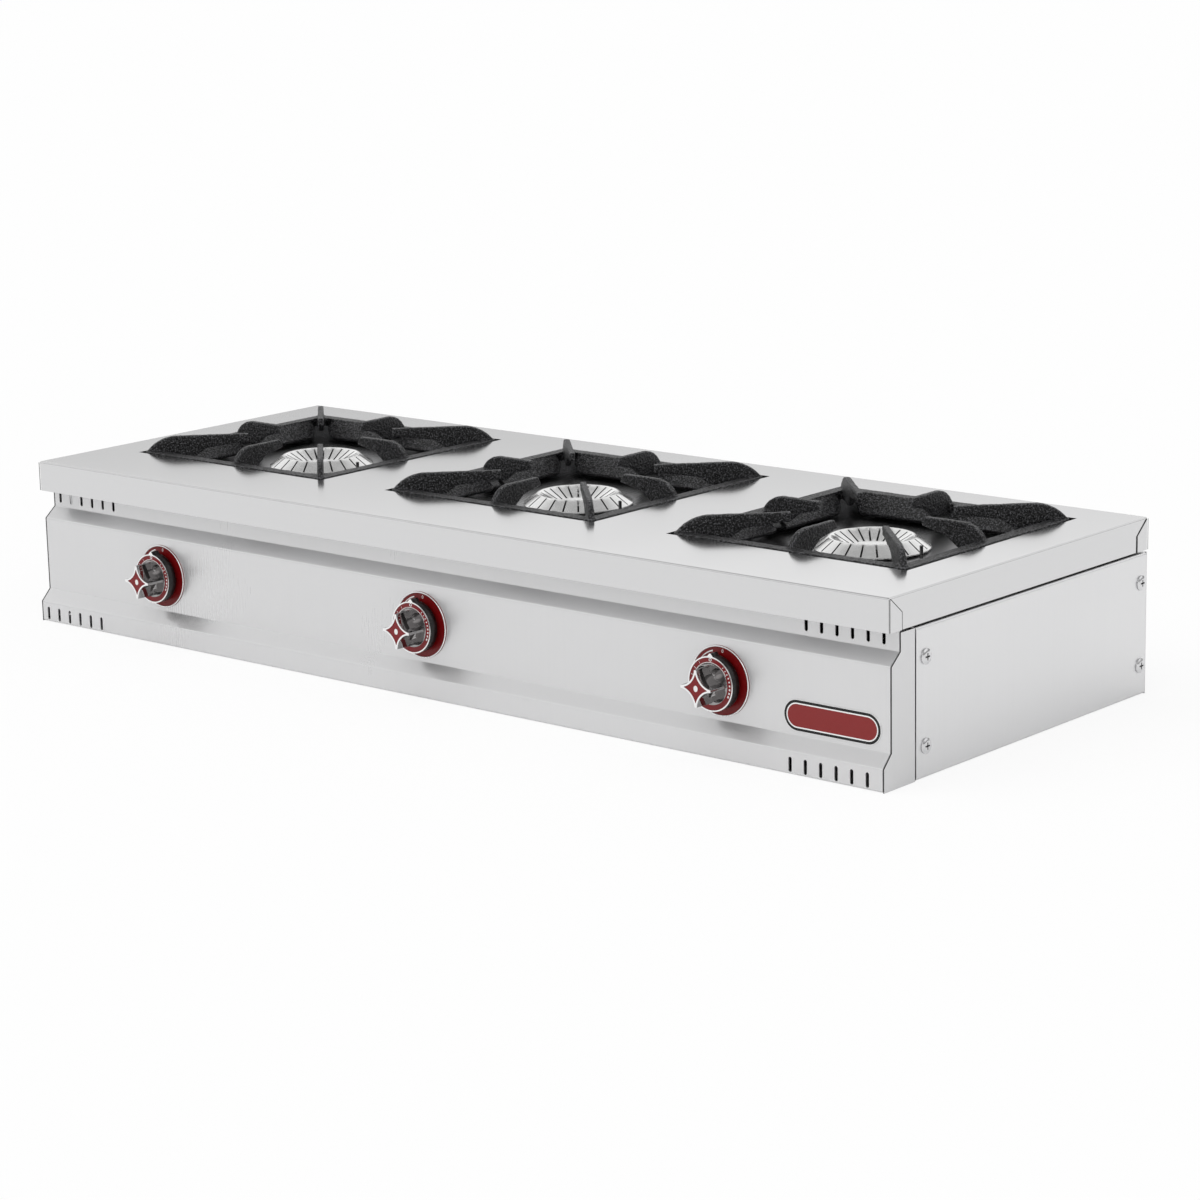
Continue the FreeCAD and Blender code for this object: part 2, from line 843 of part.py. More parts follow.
def make_corner_posts():
    """Angle uprights inside the four corners. The side screws and rear screws go into them."""
    base = S.panel_sheet + S.bend_radius
    height = panel_top - base * 2
    leg = S.post_leg
    wall = S.post_sheet
    outer = side_inner.value
    posts = []
    for sign in SIDES.values():
        for y, facing in (
            (cheek_back + S.cheek_gap, 1),
            (rear_inner, -1),
        ):
            corner = Vector(outer * sign, y.value, base.value)
            flat = Part.makeBox(wall.value, leg.value, height.value)
            cross = Part.makeBox(leg.value, wall.value, height.value)
            shift_x = -wall.value if sign > 0 else 0
            shift_y = 0 if facing > 0 else -leg.value
            flat.translate(corner + Vector(shift_x, shift_y, 0))
            shift_x = -leg.value if sign > 0 else 0
            shift_y = 0 if facing > 0 else -wall.value
            cross.translate(corner + Vector(shift_x, shift_y, 0))
            post = flat.fuse(cross).removeSplitter()
            posts.append(post.cut(screw_clearances(sign)))
    return posts


def screw_clearances(sign):
    """Round cutters where the side screws and rear screws pass through one side's posts."""
    radius = (S.screw_shank_radius + S.running_gap).value
    length = S.screw_length.value
    cutters = []
    for z in (S.side_screw_low.value, side_screw_high.value):
        for y in (front + S.side_screw_front, half_depth - S.side_screw_back):
            seat = Vector(side_plane.value * sign, y.value, z)
            cutters.append(Part.makeCylinder(radius, length, seat, Vector(-sign, 0, 0)))
        x = (side_inner - S.post_leg / 2).value * sign
        seat = Vector(x, rear_plane.value, z)
        cutters.append(Part.makeCylinder(radius, length, seat, Vector(0, -1, 0)))
    return cutters


def make_burner_rail(label, sign):
    """A channel across the casing, open downwards, that the burner bodies stand on."""
    y = burner_row + S.rail_spacing * (sign / 2)
    body = place(new_body(f"burner_rail_{label}"), y=y, z=burner_foot)
    section = new_sketch(body, "section", "YZ_Plane")
    half = S.rail_width / 2
    add_folded_sheet(section, [
        (half, -S.rail_width),
        (half, 0),
        (-half, 0),
        (-half, -S.rail_width),
    ], S.rail_sheet)
    pad(body, section, side_inner * 2, side="Symmetric")
    return body


def make_badge_plate():
    body = place(new_body("badge_plate"), x=half_width - S.badge_end_margin, y=face_plane, z=S.badge_centre_z)
    outline = new_sketch(body, "outline", "XZ_Plane")
    add_slot(outline, as_size(0), as_size(0), S.badge_height, S.badge_length, upright=False)
    pad(body, outline, S.badge_sheet)
    return body


# ---------------------------------------------------------------- screws


def make_screw_master():
    """Pan head screw along +Y: the head's seat is at y = 0 and its top points to -Y."""
    body = new_body("screw_master")
    half = new_sketch(body, "half", "XY_Plane")
    crown = S.screw_head_height
    add_outline(half, [
        (0, S.screw_length),
        (0, -crown),
        (S.screw_crown_radius, S.screw_crown_drop - crown),
        (S.screw_head_radius, -S.screw_edge_height),
        (S.screw_head_radius, 0),
        (S.screw_shank_radius, 0),
        (S.screw_shank_radius, S.screw_length),
    ])
    turn(body, half, "Y_Axis")
    cross = new_sketch(body, "cross", "XZ_Plane", crown + OVERCUT)
    reach = S.screw_cross / 2
    thin = S.screw_cross_width / 2
    add_outline(cross, [
        (-thin, -reach), (thin, -reach), (thin, -thin), (reach, -thin),
        (reach, thin), (thin, thin), (thin, reach), (-thin, reach),
        (-thin, thin), (-reach, thin), (-reach, -thin), (-thin, -thin),
    ])
    pocket(body, cross, S.screw_cross_depth + OVERCUT)
    return body


def screw_at(master, point, rotation):
    """A copy of the screw with its seat at the point."""
    copy = master.Shape.copy()
    position = Vector(*[as_size(value).value for value in point])
    copy.Placement = FreeCAD.Placement(position, rotation)
    return copy


def side_screws(master):
    screws = []
    for sign in SIDES.values():
        rotation = Rotation(Vector(0, 0, 1), 90 * sign)
        for y in (front + S.side_screw_front, half_depth - S.side_screw_back):
            for z in (S.side_screw_low, side_screw_high):
                screws.append(screw_at(master, (side_plane * sign, y, z), rotation))
    return screws


def rear_screws(master):
    screws = []
    rotation = Rotation(Vector(0, 0, 1), 180)
    for sign in SIDES.values():
        for z in (S.side_screw_low, side_screw_high):
            x = (side_inner - S.post_leg / 2) * sign
            screws.append(screw_at(master, (x, rear_plane, z), rotation))
    return screws


# ---------------------------------------------------------------- hob pieces


def make_drip_well(name):
    """Pressed square pan under a cut-out. Its ledge carries the pan support."""
    body = place(new_body(f"drip_well_{name}"), burner_x(name), burner_row, S.hob_height)
    wall = S.well_sheet
    upper = S.cutout_side / 2
    lower = upper - S.well_ledge
    ledge = S.grate_top - S.grate_rim_height - S.seat_gap
    floor = -S.well_floor_drop
    brim = new_sketch(body, "brim", "XY_Plane", -S.hob_sheet)
    reach = upper + S.well_flange
    add_rectangle(brim, -reach, -reach, reach, reach)
    pad(body, brim, wall, backwards=True)
    box = new_sketch(body, "box", "XY_Plane", ledge - wall)
    add_rectangle(box, -upper - wall, -upper - wall, upper + wall, upper + wall)
    pad(body, box, -S.hob_sheet - ledge + wall)
    sump = new_sketch(body, "sump", "XY_Plane", floor - wall)
    add_rectangle(sump, -lower - wall, -lower - wall, lower + wall, lower + wall)
    pad(body, sump, ledge - floor)
    mouth = new_sketch(body, "mouth", "XY_Plane")
    add_rectangle(mouth, -upper, -upper, upper, upper)
    pocket(body, mouth, -ledge)
    basin = new_sketch(body, "basin", "XY_Plane")
    add_rectangle(basin, -lower, -lower, lower, lower)
    pocket(body, basin, -floor)
    holes = new_sketch(body, "holes", "XY_Plane", floor + OVERCUT)
    add_circle(holes, 0, 0, S.well_hole_radius)
    add_circle(holes, S.probe_offset_x, S.probe_offset_y, S.probe_radius + S.running_gap)
    pocket(body, holes, wall + OVERCUT * 2)
    return body


def add_finger(body, name, tip, lean, belly, heel, root, shoulder):
    """An upright finger in the XZ plane, from the rim towards the centre. Its tip leans in
    by so much, its underside drops from the belly to the heel, and its back curves from the
    root up to the shoulder."""
    outline = new_sketch(body, name, "XZ_Plane")
    low = S.grate_top - S.grate_rim_height
    span = root - shoulder
    rise = S.finger_rise - S.grate_top
    radius = (span * span + rise * rise) / (rise * 2)
    add_outline(outline, [
        (tip, S.finger_rise),
        (tip - lean, S.finger_rise - S.finger_tip_drop),
        (belly, S.finger_belly_height),
        (heel, low),
        (root, low),
        (root, S.grate_top),
        (shoulder, S.finger_rise, radius),
    ])
    return pad(body, outline, S.finger_width, side="Symmetric")


def make_pan_support(name):
    """Cast square frame with eight fingers and eight sloping aprons."""
    body = place(new_body(f"pan_support_{name}"), burner_x(name), burner_row, S.hob_height)
    low = S.grate_top - S.grate_rim_height
    rim = new_sketch(body, "rim", "XY_Plane", low)
    inner = grate_half - S.grate_rim_width
    add_rectangle(rim, -grate_half, -grate_half, grate_half, grate_half)
    add_rectangle(rim, -inner, -inner, inner, inner)
    pad(body, rim, S.grate_rim_height)
    limit = inner.value + TOUCH
    round_edges(body, lambda edge: is_upright(edge) and abs(edge.CenterOfMass.x) > limit,
                S.grate_corner_radius)
    side_root = grate_half - S.grate_rim_width / 2
    side = add_finger(body, "side_finger", S.side_finger_tip, S.finger_tip_lean,
                      S.side_finger_belly, S.side_finger_heel, side_root,
                      S.side_finger_shoulder)
    repeat_round(body, [side], "Z_Axis", GRATE_SIDES)
    corner_end = (grate_half - S.grate_corner_radius) * math.sqrt(2) + S.grate_corner_radius
    corner = add_finger(body, "corner_finger", S.corner_finger_tip, as_size(0),
                        S.corner_finger_belly, S.corner_finger_heel,
                        corner_end - S.corner_finger_inset, S.corner_finger_shoulder)
    sketch = corner.Profile[0]
    sketch.AttachmentOffset = FreeCAD.Placement(Vector(0, 0, 0), Rotation(Vector(0, 1, 0), 45))
    repeat_round(body, [corner], "Z_Axis", GRATE_SIDES)
    aprons = []
    for label, sign in SIDES.items():
        aprons.append(add_apron(body, label, sign, inner))
    repeat_round(body, aprons, "Z_Axis", GRATE_SIDES)
    return body


def add_apron(body, label, sign, inner):
    """A plate that slopes down from the rim, beside a side finger."""
    plate = new_sketch(body, f"apron_{label}", "YZ_Plane")
    near = S.apron_inner_end * sign
    far = S.apron_outer_end * sign
    bevel = S.apron_bevel * sign
    length = S.apron_slope_length
    corners = [
        (near, 0), (far, 0), (far, length - S.apron_bevel),
        (far - bevel, length), (near, length),
    ]
    add_outline(plate, corners)
    slope = Rotation(Vector(1, 0, 0), 180 + APRON_SLOPE)
    plate.AttachmentOffset = FreeCAD.Placement(Vector(0, 0, inner.value), slope)
    bind(plate, "AttachmentOffset.Base.z", inner)
    return pad(body, plate, S.apron_sheet, backwards=True)


def make_crown(name):
    """Slotted double cone with a spigot that drops into the burner head."""
    body = place(new_body(f"burner_crown_{name}"), burner_x(name), burner_row, S.hob_height)
    half = new_sketch(body, "half", "XZ_Plane")
    skin = S.crown_sheet
    base = -S.crown_base_drop
    ridge = -S.crown_ridge_drop
    centre = -S.crown_centre_drop
    crest = S.crown_ridge_radius
    spigot = S.crown_spigot_radius
    add_outline(half, [
        (0, centre),
        (S.crown_centre_radius, centre),
        (crest - S.crown_ridge_width / 2, ridge),
        (crest + S.crown_ridge_width / 2, ridge),
        (S.crown_base_radius, base + S.crown_rim),
        (S.crown_base_radius, base),
        (spigot, base),
        (spigot, base - S.crown_spigot_height),
        (spigot - skin, base - S.crown_spigot_height),
        (spigot - skin, ridge - S.crown_roof_drop),
        (crest, ridge - S.crown_crest_drop),
        (S.crown_centre_radius, centre - skin),
        (0, centre - skin),
    ])
    turn(body, half, "Z_Axis")
    slots = new_sketch(body, "slots", "XY_Plane")
    thin = S.crown_slot_width / 2
    inset = S.crown_slot_inset
    inner_end = crest - S.crown_ridge_width / 2 - inset
    add_rectangle(slots, S.crown_centre_radius + inset, -thin, inner_end, thin)
    outer_start = crest + S.crown_ridge_width / 2 + S.crown_slot_land
    add_rectangle(slots, outer_start, -thin, S.crown_base_radius - inset, thin)
    cut = pocket(body, slots, S.crown_base_drop + skin)
    repeat_round(body, [cut], "Z_Axis", CROWN_SLOTS)
    return body


# ---------------------------------------------------------------- burners


def make_burner_body(name):
    """Cast cup with a flared mixing tube and an arm that holds the injector."""
    body = place(new_body(f"burner_body_{name}"), burner_x(name), burner_row, mixing_height)
    top = crown_seat - mixing_height
    foot = burner_foot - mixing_height
    wall = S.head_wall
    head = new_sketch(body, "head", "XZ_Plane")
    add_outline(head, [
        (0, foot),
        (S.head_foot_radius, foot),
        (S.head_foot_radius, foot + S.head_foot_height),
        (S.head_radius, top - S.head_skirt_drop),
        (S.head_radius, top),
        (0, top),
    ])
    turn(body, head, "Z_Axis")
    mixer = new_sketch(body, "mixer", "XY_Plane")
    add_outline(mixer, [
        (0, -mixing_length),
        (S.mouth_radius, -mixing_length),
        (S.mixing_radius, S.mouth_length - mixing_length),
        (S.mixing_radius, 0),
        (0, 0),
    ])
    turn(body, mixer, "Y_Axis")
    plate_back = -mixing_length - S.air_gap
    plate = new_sketch(body, "jet_plate", "XZ_Plane", -plate_back)
    add_circle(plate, 0, 0, S.jet_plate_radius)
    pad(body, plate, S.jet_plate)
    ribs = new_sketch(body, "air_ribs", "XZ_Plane", mixing_length - S.mouth_length / 2)
    for sign in SIDES.values():
        near = (S.mouth_radius - S.air_rib_width) * sign
        far = (S.mouth_radius - S.air_rib_inset) * sign
        add_rectangle(ribs, near, -S.air_rib_height / 2, far, S.air_rib_height / 2)
    pad(body, ribs, S.air_gap + S.mouth_length / 2 + S.jet_plate / 2)
    chamber = new_sketch(body, "chamber", "XZ_Plane")
    add_outline(chamber, [
        (0, foot + wall),
        (S.head_foot_radius - wall, foot + wall),
        (S.head_foot_radius - wall, foot + S.head_foot_height),
        (S.head_radius - wall, top - S.head_skirt_drop),
        (S.head_radius - wall, top),
        (0, top),
    ])
    turn(body, chamber, "Z_Axis", "PartDesign::Groove")
    throat = new_sketch(body, "throat", "XY_Plane")
    bore = S.mixing_radius - S.mixing_wall
    add_outline(throat, [
        (0, -mixing_length),
        (S.mouth_radius - S.mixing_wall, -mixing_length),
        (bore, S.mouth_length - mixing_length),
        (bore, 0),
        (0, 0),
    ])
    turn(body, throat, "Y_Axis", "PartDesign::Groove")
    seat = new_sketch(body, "jet_seat", "XZ_Plane", S.jet_plate + OVERCUT - plate_back)
    add_circle(seat, 0, 0, S.jet_thread_radius + S.running_gap)
    pocket(body, seat, S.jet_plate + OVERCUT * 2)
    return body


def make_injector(name):
    """Brass injector: head, thread through the burner's arm, tapered tip with its jet."""
    body = place(new_body(f"injector_{name}"), burner_x(name), jet_plate_front, mixing_height)
    half = new_sketch(body, "half", "XY_Plane")
    thread_end = S.jet_thread_length
    tip = thread_end + S.jet_tip_length
    add_outline(half, [
        (S.tube_bore_radius, -S.jet_head_length),
        (S.jet_head_radius, -S.jet_head_length),
        (S.jet_head_radius, 0),
        (S.jet_thread_radius, 0),
        (S.jet_thread_radius, thread_end),
        (S.jet_tip_radius, tip),
        (S.jet_bore_radius, tip),
        (S.jet_bore_radius, 0),
        (S.tube_bore_radius, 0),
    ])
    turn(body, half, "Y_Axis")
    return body


def make_supply_tube(name):
    """Bent tube from the tap's outlet up and back to the injector."""
    body = place(new_body(f"supply_tube_{name}"), burner_x(name), port_y, port_top)
    rise = mixing_height - port_top
    run = jet_back - port_y
    path = new_sketch(body, "path", "YZ_Plane")
    bend = S.tube_bend
    path.addGeometry(Part.LineSegment(Vector(0, 0, 0), flat_point((0, rise - bend))), False)
    arc = signed_arc(flat_point((0, rise - bend)), flat_point((bend, rise)), -bend.value)
    path.addGeometry(arc, False)
    path.addGeometry(Part.LineSegment(flat_point((bend, rise)), flat_point((run, rise))), False)
    path.addConstraint(Sketcher.Constraint("Tangent", 0, 2, 1, 2))
    path.addConstraint(Sketcher.Constraint("Tangent", 1, 1, 2, 1))
    pin_point(path, 0, 1, (0, 0))
    pin_point(path, 0, 2, (0, rise - bend))
    pin_point(path, 2, 2, (run, rise))
    path.addConstraint(Sketcher.Constraint("Horizontal", 2))
    ring = new_sketch(body, "ring", "XY_Plane")
    add_circle(ring, 0, 0, S.tube_radius)
    add_circle(ring, 0, 0, S.tube_bore_radius)
    pipe = body.newObject("PartDesign::AdditivePipe", f"{body.Name}_pipe")
    pipe.Profile = ring
    pipe.Spine = path
    body.Tip = pipe
    return body


# ---------------------------------------------------------------- taps and knobs


def make_gas_valve(name):
    """Tap body: nose towards the fascia, barrel, outlet port, magnet port and tail."""
    body = place(new_body(f"gas_valve_{name}"), knob_x(name), face_plane, knob_height)
    barrel = new_sketch(body, "barrel", "XY_Plane")
    add_outline(barrel, [
        (0, S.nose_setback),
        (S.nose_radius, S.nose_setback),
        (S.nose_radius, barrel_front),
        (S.barrel_radius, barrel_front),
        (S.barrel_radius, barrel_back),
        (S.tail_radius, barrel_back),
        (S.tail_radius, barrel_back + S.tail_length + S.gas_pipe_radius / 2),
        (0, barrel_back + S.tail_length + S.gas_pipe_radius / 2),
    ])
    turn(body, barrel, "Y_Axis")
    flange = new_sketch(body, "flange", "XZ_Plane", -barrel_front)
    add_rectangle(flange, -S.flange_width / 2, -S.flange_height / 2,
                  S.flange_width / 2, S.flange_height / 2)
    pad(body, flange, S.flange_sheet, backwards=True)
    port = new_sketch(body, "port", "XY_Plane")
    shift = burner_x(name) - knob_x(name)
    add_circle(port, shift, barrel_front + S.port_station, S.port_radius)
    pad(body, port, S.port_height)
    magnet = new_sketch(body, "magnet", "YZ_Plane")
    add_circle(magnet, barrel_front + S.magnet_station, 0, S.magnet_radius)
    pad(body, magnet, S.magnet_reach)
    saddle = new_sketch(body, "saddle", "YZ_Plane")
    rail_station = barrel_back + S.tail_length + S.gas_pipe_radius
    add_circle(saddle, rail_station, 0, S.gas_pipe_radius + S.running_gap)
    pocket(body, saddle, S.barrel_radius * 4, side="Symmetric")
    plug_front = barrel_front + S.plug_inset
    bore = new_sketch(body, "bore", "XY_Plane")
    add_outline(bore, [
        (0, S.nose_setback - OVERCUT),
        (S.spindle_radius + S.seat_gap, S.nose_setback - OVERCUT),
        (S.spindle_radius + S.seat_gap, S.nose_setback + S.nose_wall),
        (S.nose_cavity_radius, S.nose_setback + S.nose_wall),
        (S.nose_cavity_radius, plug_front - S.seat_gap),
        (S.plug_radius + S.running_gap, plug_front - S.seat_gap),
        (S.plug_radius + S.running_gap, plug_front + S.plug_length + S.seat_gap),
        (0, plug_front + S.plug_length + S.seat_gap),
    ])
    turn(body, bore, "Y_Axis", "PartDesign::Groove")
    gas_way = new_sketch(body, "gas_way", "XY_Plane")
    add_circle(gas_way, shift, barrel_front + S.port_station, S.tube_bore_radius)
    pocket(body, gas_way, S.port_height + OVERCUT, backwards=True)
    return body


def make_valve_plug(name):
    """The cock that turns in the tap body, with a square socket for the spindle."""
    body = place(new_body(f"valve_plug_{name}"), knob_x(name), face_plane, knob_height)
    plug_front = barrel_front + S.plug_inset
    disc = new_sketch(body, "disc", "XZ_Plane", -plug_front)
    add_circle(disc, 0, 0, S.plug_radius)
    pad(body, disc, S.plug_length, backwards=True)
    socket = new_sketch(body, "socket", "XZ_Plane", OVERCUT - plug_front)
    half = S.spindle_square / 2 + S.running_gap
    add_rectangle(socket, -half, -half, half, half)
    depth = S.spindle_in_plug + S.spindle_travel + S.spindle_end_gap
    pocket(body, socket, depth + OVERCUT)
    way = new_sketch(body, "way", "XY_Plane")
    add_circle(way, 0, barrel_front + S.port_station, S.tube_bore_radius)
    pocket(body, way, S.plug_radius * 4, side="Symmetric")
    return body


def make_spindle(name):
    """Round rod with a collar and a square inner end."""
    body = place(new_body(f"valve_spindle_{name}"), knob_x(name), face_plane, knob_height)
    plug_front = barrel_front + S.plug_inset
    knob_back = -S.bezel_sheet - S.knob_gap
    collar = S.nose_setback + S.nose_wall + S.seat_gap
    shoulder = plug_front - S.spindle_travel - S.spindle_end_gap
    half = new_sketch(body, "half", "XY_Plane")
    radius = S.spindle_radius
    add_outline(half, [
        (0, knob_back - S.spindle_in_knob),
        (radius, knob_back - S.spindle_in_knob),
        (radius, collar),
        (S.collar_radius, collar),
        (S.collar_radius, collar + S.collar_sheet),
        (radius, collar + S.collar_sheet),
        (radius, shoulder),
        (0, shoulder),
    ])
    turn(body, half, "Y_Axis")
    square = new_sketch(body, "square", "XZ_Plane", OVERCUT - shoulder)
    side = S.spindle_square / 2
    add_rectangle(square, -side, -side, side, side)
    pad(body, square, plug_front + S.spindle_in_plug - shoulder + OVERCUT, backwards=True)
    return body


def coil(radius, wire, length, turns):
    """A helical spring along +Y from y = 0, as one tube."""
    helix = Part.makeHelix(length / turns, length, radius)
    section = Part.Wire([Part.makeCircle(wire, Vector(radius, 0, 0), Vector(0, 1, 0))])
    tube = Part.Wire(helix).makePipeShell([section], True, True)
    tube.rotate(Vector(0, 0, 0), Vector(1, 0, 0), -90)
    return tube


def valve_spring(name):
    """Return spring between the plug and the spindle's collar."""
    start = S.nose_setback + S.nose_wall + S.seat_gap + S.collar_sheet
    stop = barrel_front + S.plug_inset
    margin = S.spring_wire_radius + S.spring_end_gap
    length = stop - start - margin * 2
    spring = coil(S.spring_radius.value, S.spring_wire_radius.value, length.value,
                  S.spring_turns.value)
    spring.translate(Vector(
        knob_x(name).value, (face_plane + start + margin).value, knob_height.value
    ))
    return [spring]


def star_points(tip, width, waist):
    """Four narrow tips joined by arcs that curve in towards the centre."""
    half = width / 2
    rise = (tip + half) / math.sqrt(2) - waist
    span = tip - half
    radius = (span * span / 2 + rise * rise) / (rise * 2)
    return [
        (half, tip, -radius), (-half, tip), (-tip, half, -radius), (-tip, -half),
        (-half, -tip, -radius), (half, -tip), (tip, -half, -radius), (tip, half),
    ]


def add_star(sketch, tip, width, waist):
    add_outline(sketch, star_points(tip, width, waist))


def make_knob(name):
    """Skirted disc with a pointer, four dishes and a four-pointed star grip."""
    body = place(new_body(f"knob_{name}"), knob_x(name), face_plane, knob_height)
    back = S.bezel_sheet + S.knob_gap
    disc_front = back + S.knob_thickness
    disc = new_sketch(body, "disc", "XZ_Plane", back)
    add_circle(disc, 0, 0, S.knob_radius)
    pad(body, disc, S.knob_thickness)
    pointer = new_sketch(body, "pointer", "XZ_Plane", back)
    half = S.pointer_width / 2
    base = S.knob_radius - OVERCUT
    blunt = S.pointer_tip_width / 2
    tip = S.knob_radius + S.pointer_reach
    add_outline(pointer, [(-half, base), (half, base), (blunt, tip), (-blunt, tip)])
    pad(body, pointer, S.knob_thickness)
    hollow = new_sketch(body, "hollow", "XZ_Plane", back)
    add_circle(hollow, 0, 0, S.knob_radius - S.knob_wall)
    add_circle(hollow, 0, 0, S.knob_hub_radius)
    pocket(body, hollow, S.knob_thickness - S.knob_wall - S.dish_depth, backwards=True)
    dishes = new_sketch(body, "dishes", "XZ_Plane", disc_front)
    for x in (-1, 1):
        for z in (-1, 1):
            add_circle(dishes, S.dish_offset * x, S.dish_offset * z, S.dish_radius)
    pocket(body, dishes, S.dish_depth).TaperAngle = DISH_TAPER
    groove = new_sketch(body, "ring_seat", "XZ_Plane", disc_front)
    add_circle(groove, 0, 0, S.ring_outer_radius + S.inset_gap)
    add_circle(groove, 0, 0, S.ring_inner_radius - S.inset_gap)
    pocket(body, groove, S.inset_depth)
    root = new_sketch(body, "star_root", "XZ_Plane", disc_front - S.dish_depth)
    add_star(root, S.star_root, S.star_tip_width, S.star_waist)
    face = new_sketch(body, "star_face", "XZ_Plane", disc_front + S.star_reach)
    add_star(face, S.star_tip, S.star_tip_width, S.star_face)
    grip = body.newObject("PartDesign::AdditiveLoft", f"{body.Name}_grip")
    grip.Profile = root
    grip.Sections = [face]
    grip.Ruled = True
    body.Tip = grip
    inset = new_sketch(body, "inset", "XZ_Plane", disc_front + S.star_reach)
    add_diamond(inset, as_size(0))
    pocket(body, inset, S.inset_depth)
    bore = new_sketch(body, "bore", "XZ_Plane", back)
    add_circle(bore, 0, 0, S.spindle_radius + S.running_gap)
    pocket(body, bore, S.spindle_in_knob + S.running_gap, backwards=True)
    return body


def add_diamond(sketch, gap):
    """The star's face drawn in by its border, for the inset and its seat."""
    tip = S.star_tip - S.star_tip_border - gap
    add_star(sketch, tip, S.diamond_tip_width, S.star_face - S.star_border - gap)


def make_knob_insert(name):
    """Printed ring for the disc and diamond for the star: two plates, one set per knob."""
    ring = new_body(f"knob_ring_master_{name}")
    back = S.bezel_sheet + S.knob_gap
    disc_front = back + S.knob_thickness
    place(ring, knob_x(name), face_plane, knob_height)
    plate = new_sketch(ring, "plate", "XZ_Plane", disc_front - S.inset_depth)
    add_circle(plate, 0, 0, S.ring_outer_radius)
    add_circle(plate, 0, 0, S.ring_inner_radius)
    pad(ring, plate, S.inset_sheet)
    diamond = new_body(f"knob_diamond_master_{name}")
    place(diamond, knob_x(name), face_plane, knob_height)
    face = new_sketch(diamond, "plate", "XZ_Plane", disc_front + S.star_reach - S.inset_depth)
    add_diamond(face, S.inset_gap)
    pad(diamond, face, S.inset_sheet)
    group = doc.addObject("Part::Compound", f"knob_insert_{name}")
    group.Label = f"knob_insert_{name}"
    group.Links = [ring, diamond]
    return group


def make_bezel(name):
    """Round plate behind the knob with a hole for the spindle."""
    body = place(new_body(f"knob_bezel_{name}"), knob_x(name), face_plane, knob_height)
    plate = new_sketch(body, "plate", "XZ_Plane")
    add_circle(plate, 0, 0, S.bezel_radius)
    add_circle(plate, 0, 0, S.bezel_hole_radius)
    pad(body, plate, S.bezel_sheet)
    return body


# ---------------------------------------------------------------- gas pipes


def make_gas_rail():
    """Pipe across the front that feeds the taps, closed at its left end."""
    body = place(new_body("gas_rail"), y=rail_y, z=knob_height)
    outer = new_sketch(body, "outer", "YZ_Plane", -rail_end)
    add_circle(outer, 0, 0, S.gas_pipe_radius)
    length = rail_end + inlet_x - S.inlet_bend
    pad(body, outer, length)
    bore = new_sketch(body, "bore", "YZ_Plane", S.gas_pipe_wall - rail_end)
    add_circle(bore, 0, 0, S.gas_pipe_radius - S.gas_pipe_wall)
    pocket(body, bore, length, backwards=True)
    return body


def make_gas_inlet():
    """Bent pipe from the rail to a threaded end behind the rear panel."""
    corner_x = inlet_x - S.inlet_bend
    body = place(new_body("gas_inlet_pipe"), corner_x, rail_y, knob_height)
    bend = S.inlet_bend
    thread_start = half_depth + S.inlet_reach - S.inlet_thread_length - rail_y
    path = new_sketch(body, "path", "XY_Plane")
    path.addGeometry(signed_arc(Vector(0, 0, 0), flat_point((bend, bend)), bend.value), False)
    path.addGeometry(Part.LineSegment(
        flat_point((bend, bend)), flat_point((bend, thread_start))), False)
    path.addConstraint(Sketcher.Constraint("Tangent", 0, 2, 1, 1))
    pin_point(path, 0, 1, (0, 0))
    pin_point(path, 0, 2, (bend, bend))
    pin_point(path, 1, 2, (bend, thread_start))
    ring = new_sketch(body, "ring", "YZ_Plane")
    add_circle(ring, 0, 0, S.gas_pipe_radius)
    pipe = body.newObject("PartDesign::AdditivePipe", "gas_inlet_bend")
    pipe.Profile = ring
    pipe.Spine = path
    body.Tip = pipe
    thread = new_sketch(body, "thread", "XZ_Plane", -thread_start)
    add_circle(thread, bend, 0, S.inlet_thread_radius)
    pad(body, thread, S.inlet_thread_length, backwards=True)
    end = thread_start.value + S.inlet_thread_length.value
    chamfer_edges(body, lambda edge: edge.BoundBox.YMin > end - TOUCH, S.inlet_thread_chamfer)
    collar = new_sketch(body, "collar", "XZ_Plane", rail_y - rear_plane)
    flat = S.inlet_collar_flats / 2
    point = flat * (2 / math.sqrt(3))
    add_outline(collar, [
        (bend + point, 0), (bend + point / 2, flat), (bend - point / 2, flat),
        (bend - point, 0), (bend - point / 2, -flat), (bend + point / 2, -flat),
    ])
    pad(body, collar, S.inlet_collar_height, backwards=True)
    return body


def make_rail_brackets():
    """Upright plates that stand on the fascia's bottom flange and hold the gas rail."""
    plates = []
    foot = (front - S.kick_reach + S.panel_sheet + S.bend_radius).value
    base = S.panel_sheet.value
    back = (rail_y + S.gas_pipe_radius + S.bracket_margin).value
    top = (knob_height + S.bracket_rise).value
    depth = S.bracket_depth.value
    lap = (S.bottom_flange - S.panel_sheet - S.bend_radius).value
    front_edge = (S.kick_top - S.bracket_toe_drop).value
    outline = [
        (foot, base), (foot + lap, base), (back, top - depth), (back, top),
        (back - depth, top), (foot, front_edge),
    ]
    for sign in SIDES.values():
        x = (knob_pitch / 2 * sign - S.bracket_sheet / 2).value
        corners = [Vector(x, y, z) for y, z in outline]
        face = Part.Face(Part.makePolygon(corners + corners[:1]))
        plate = face.extrude(Vector(S.bracket_sheet.value, 0, 0))
        hole = Part.makeCylinder(
            (S.gas_pipe_radius + S.running_gap).value, S.bracket_sheet.value * 3,
            Vector(x - S.bracket_sheet.value, rail_y.value, knob_height.value), Vector(1, 0, 0)
        )
        plates.append(plate.cut(hole))
    return plates


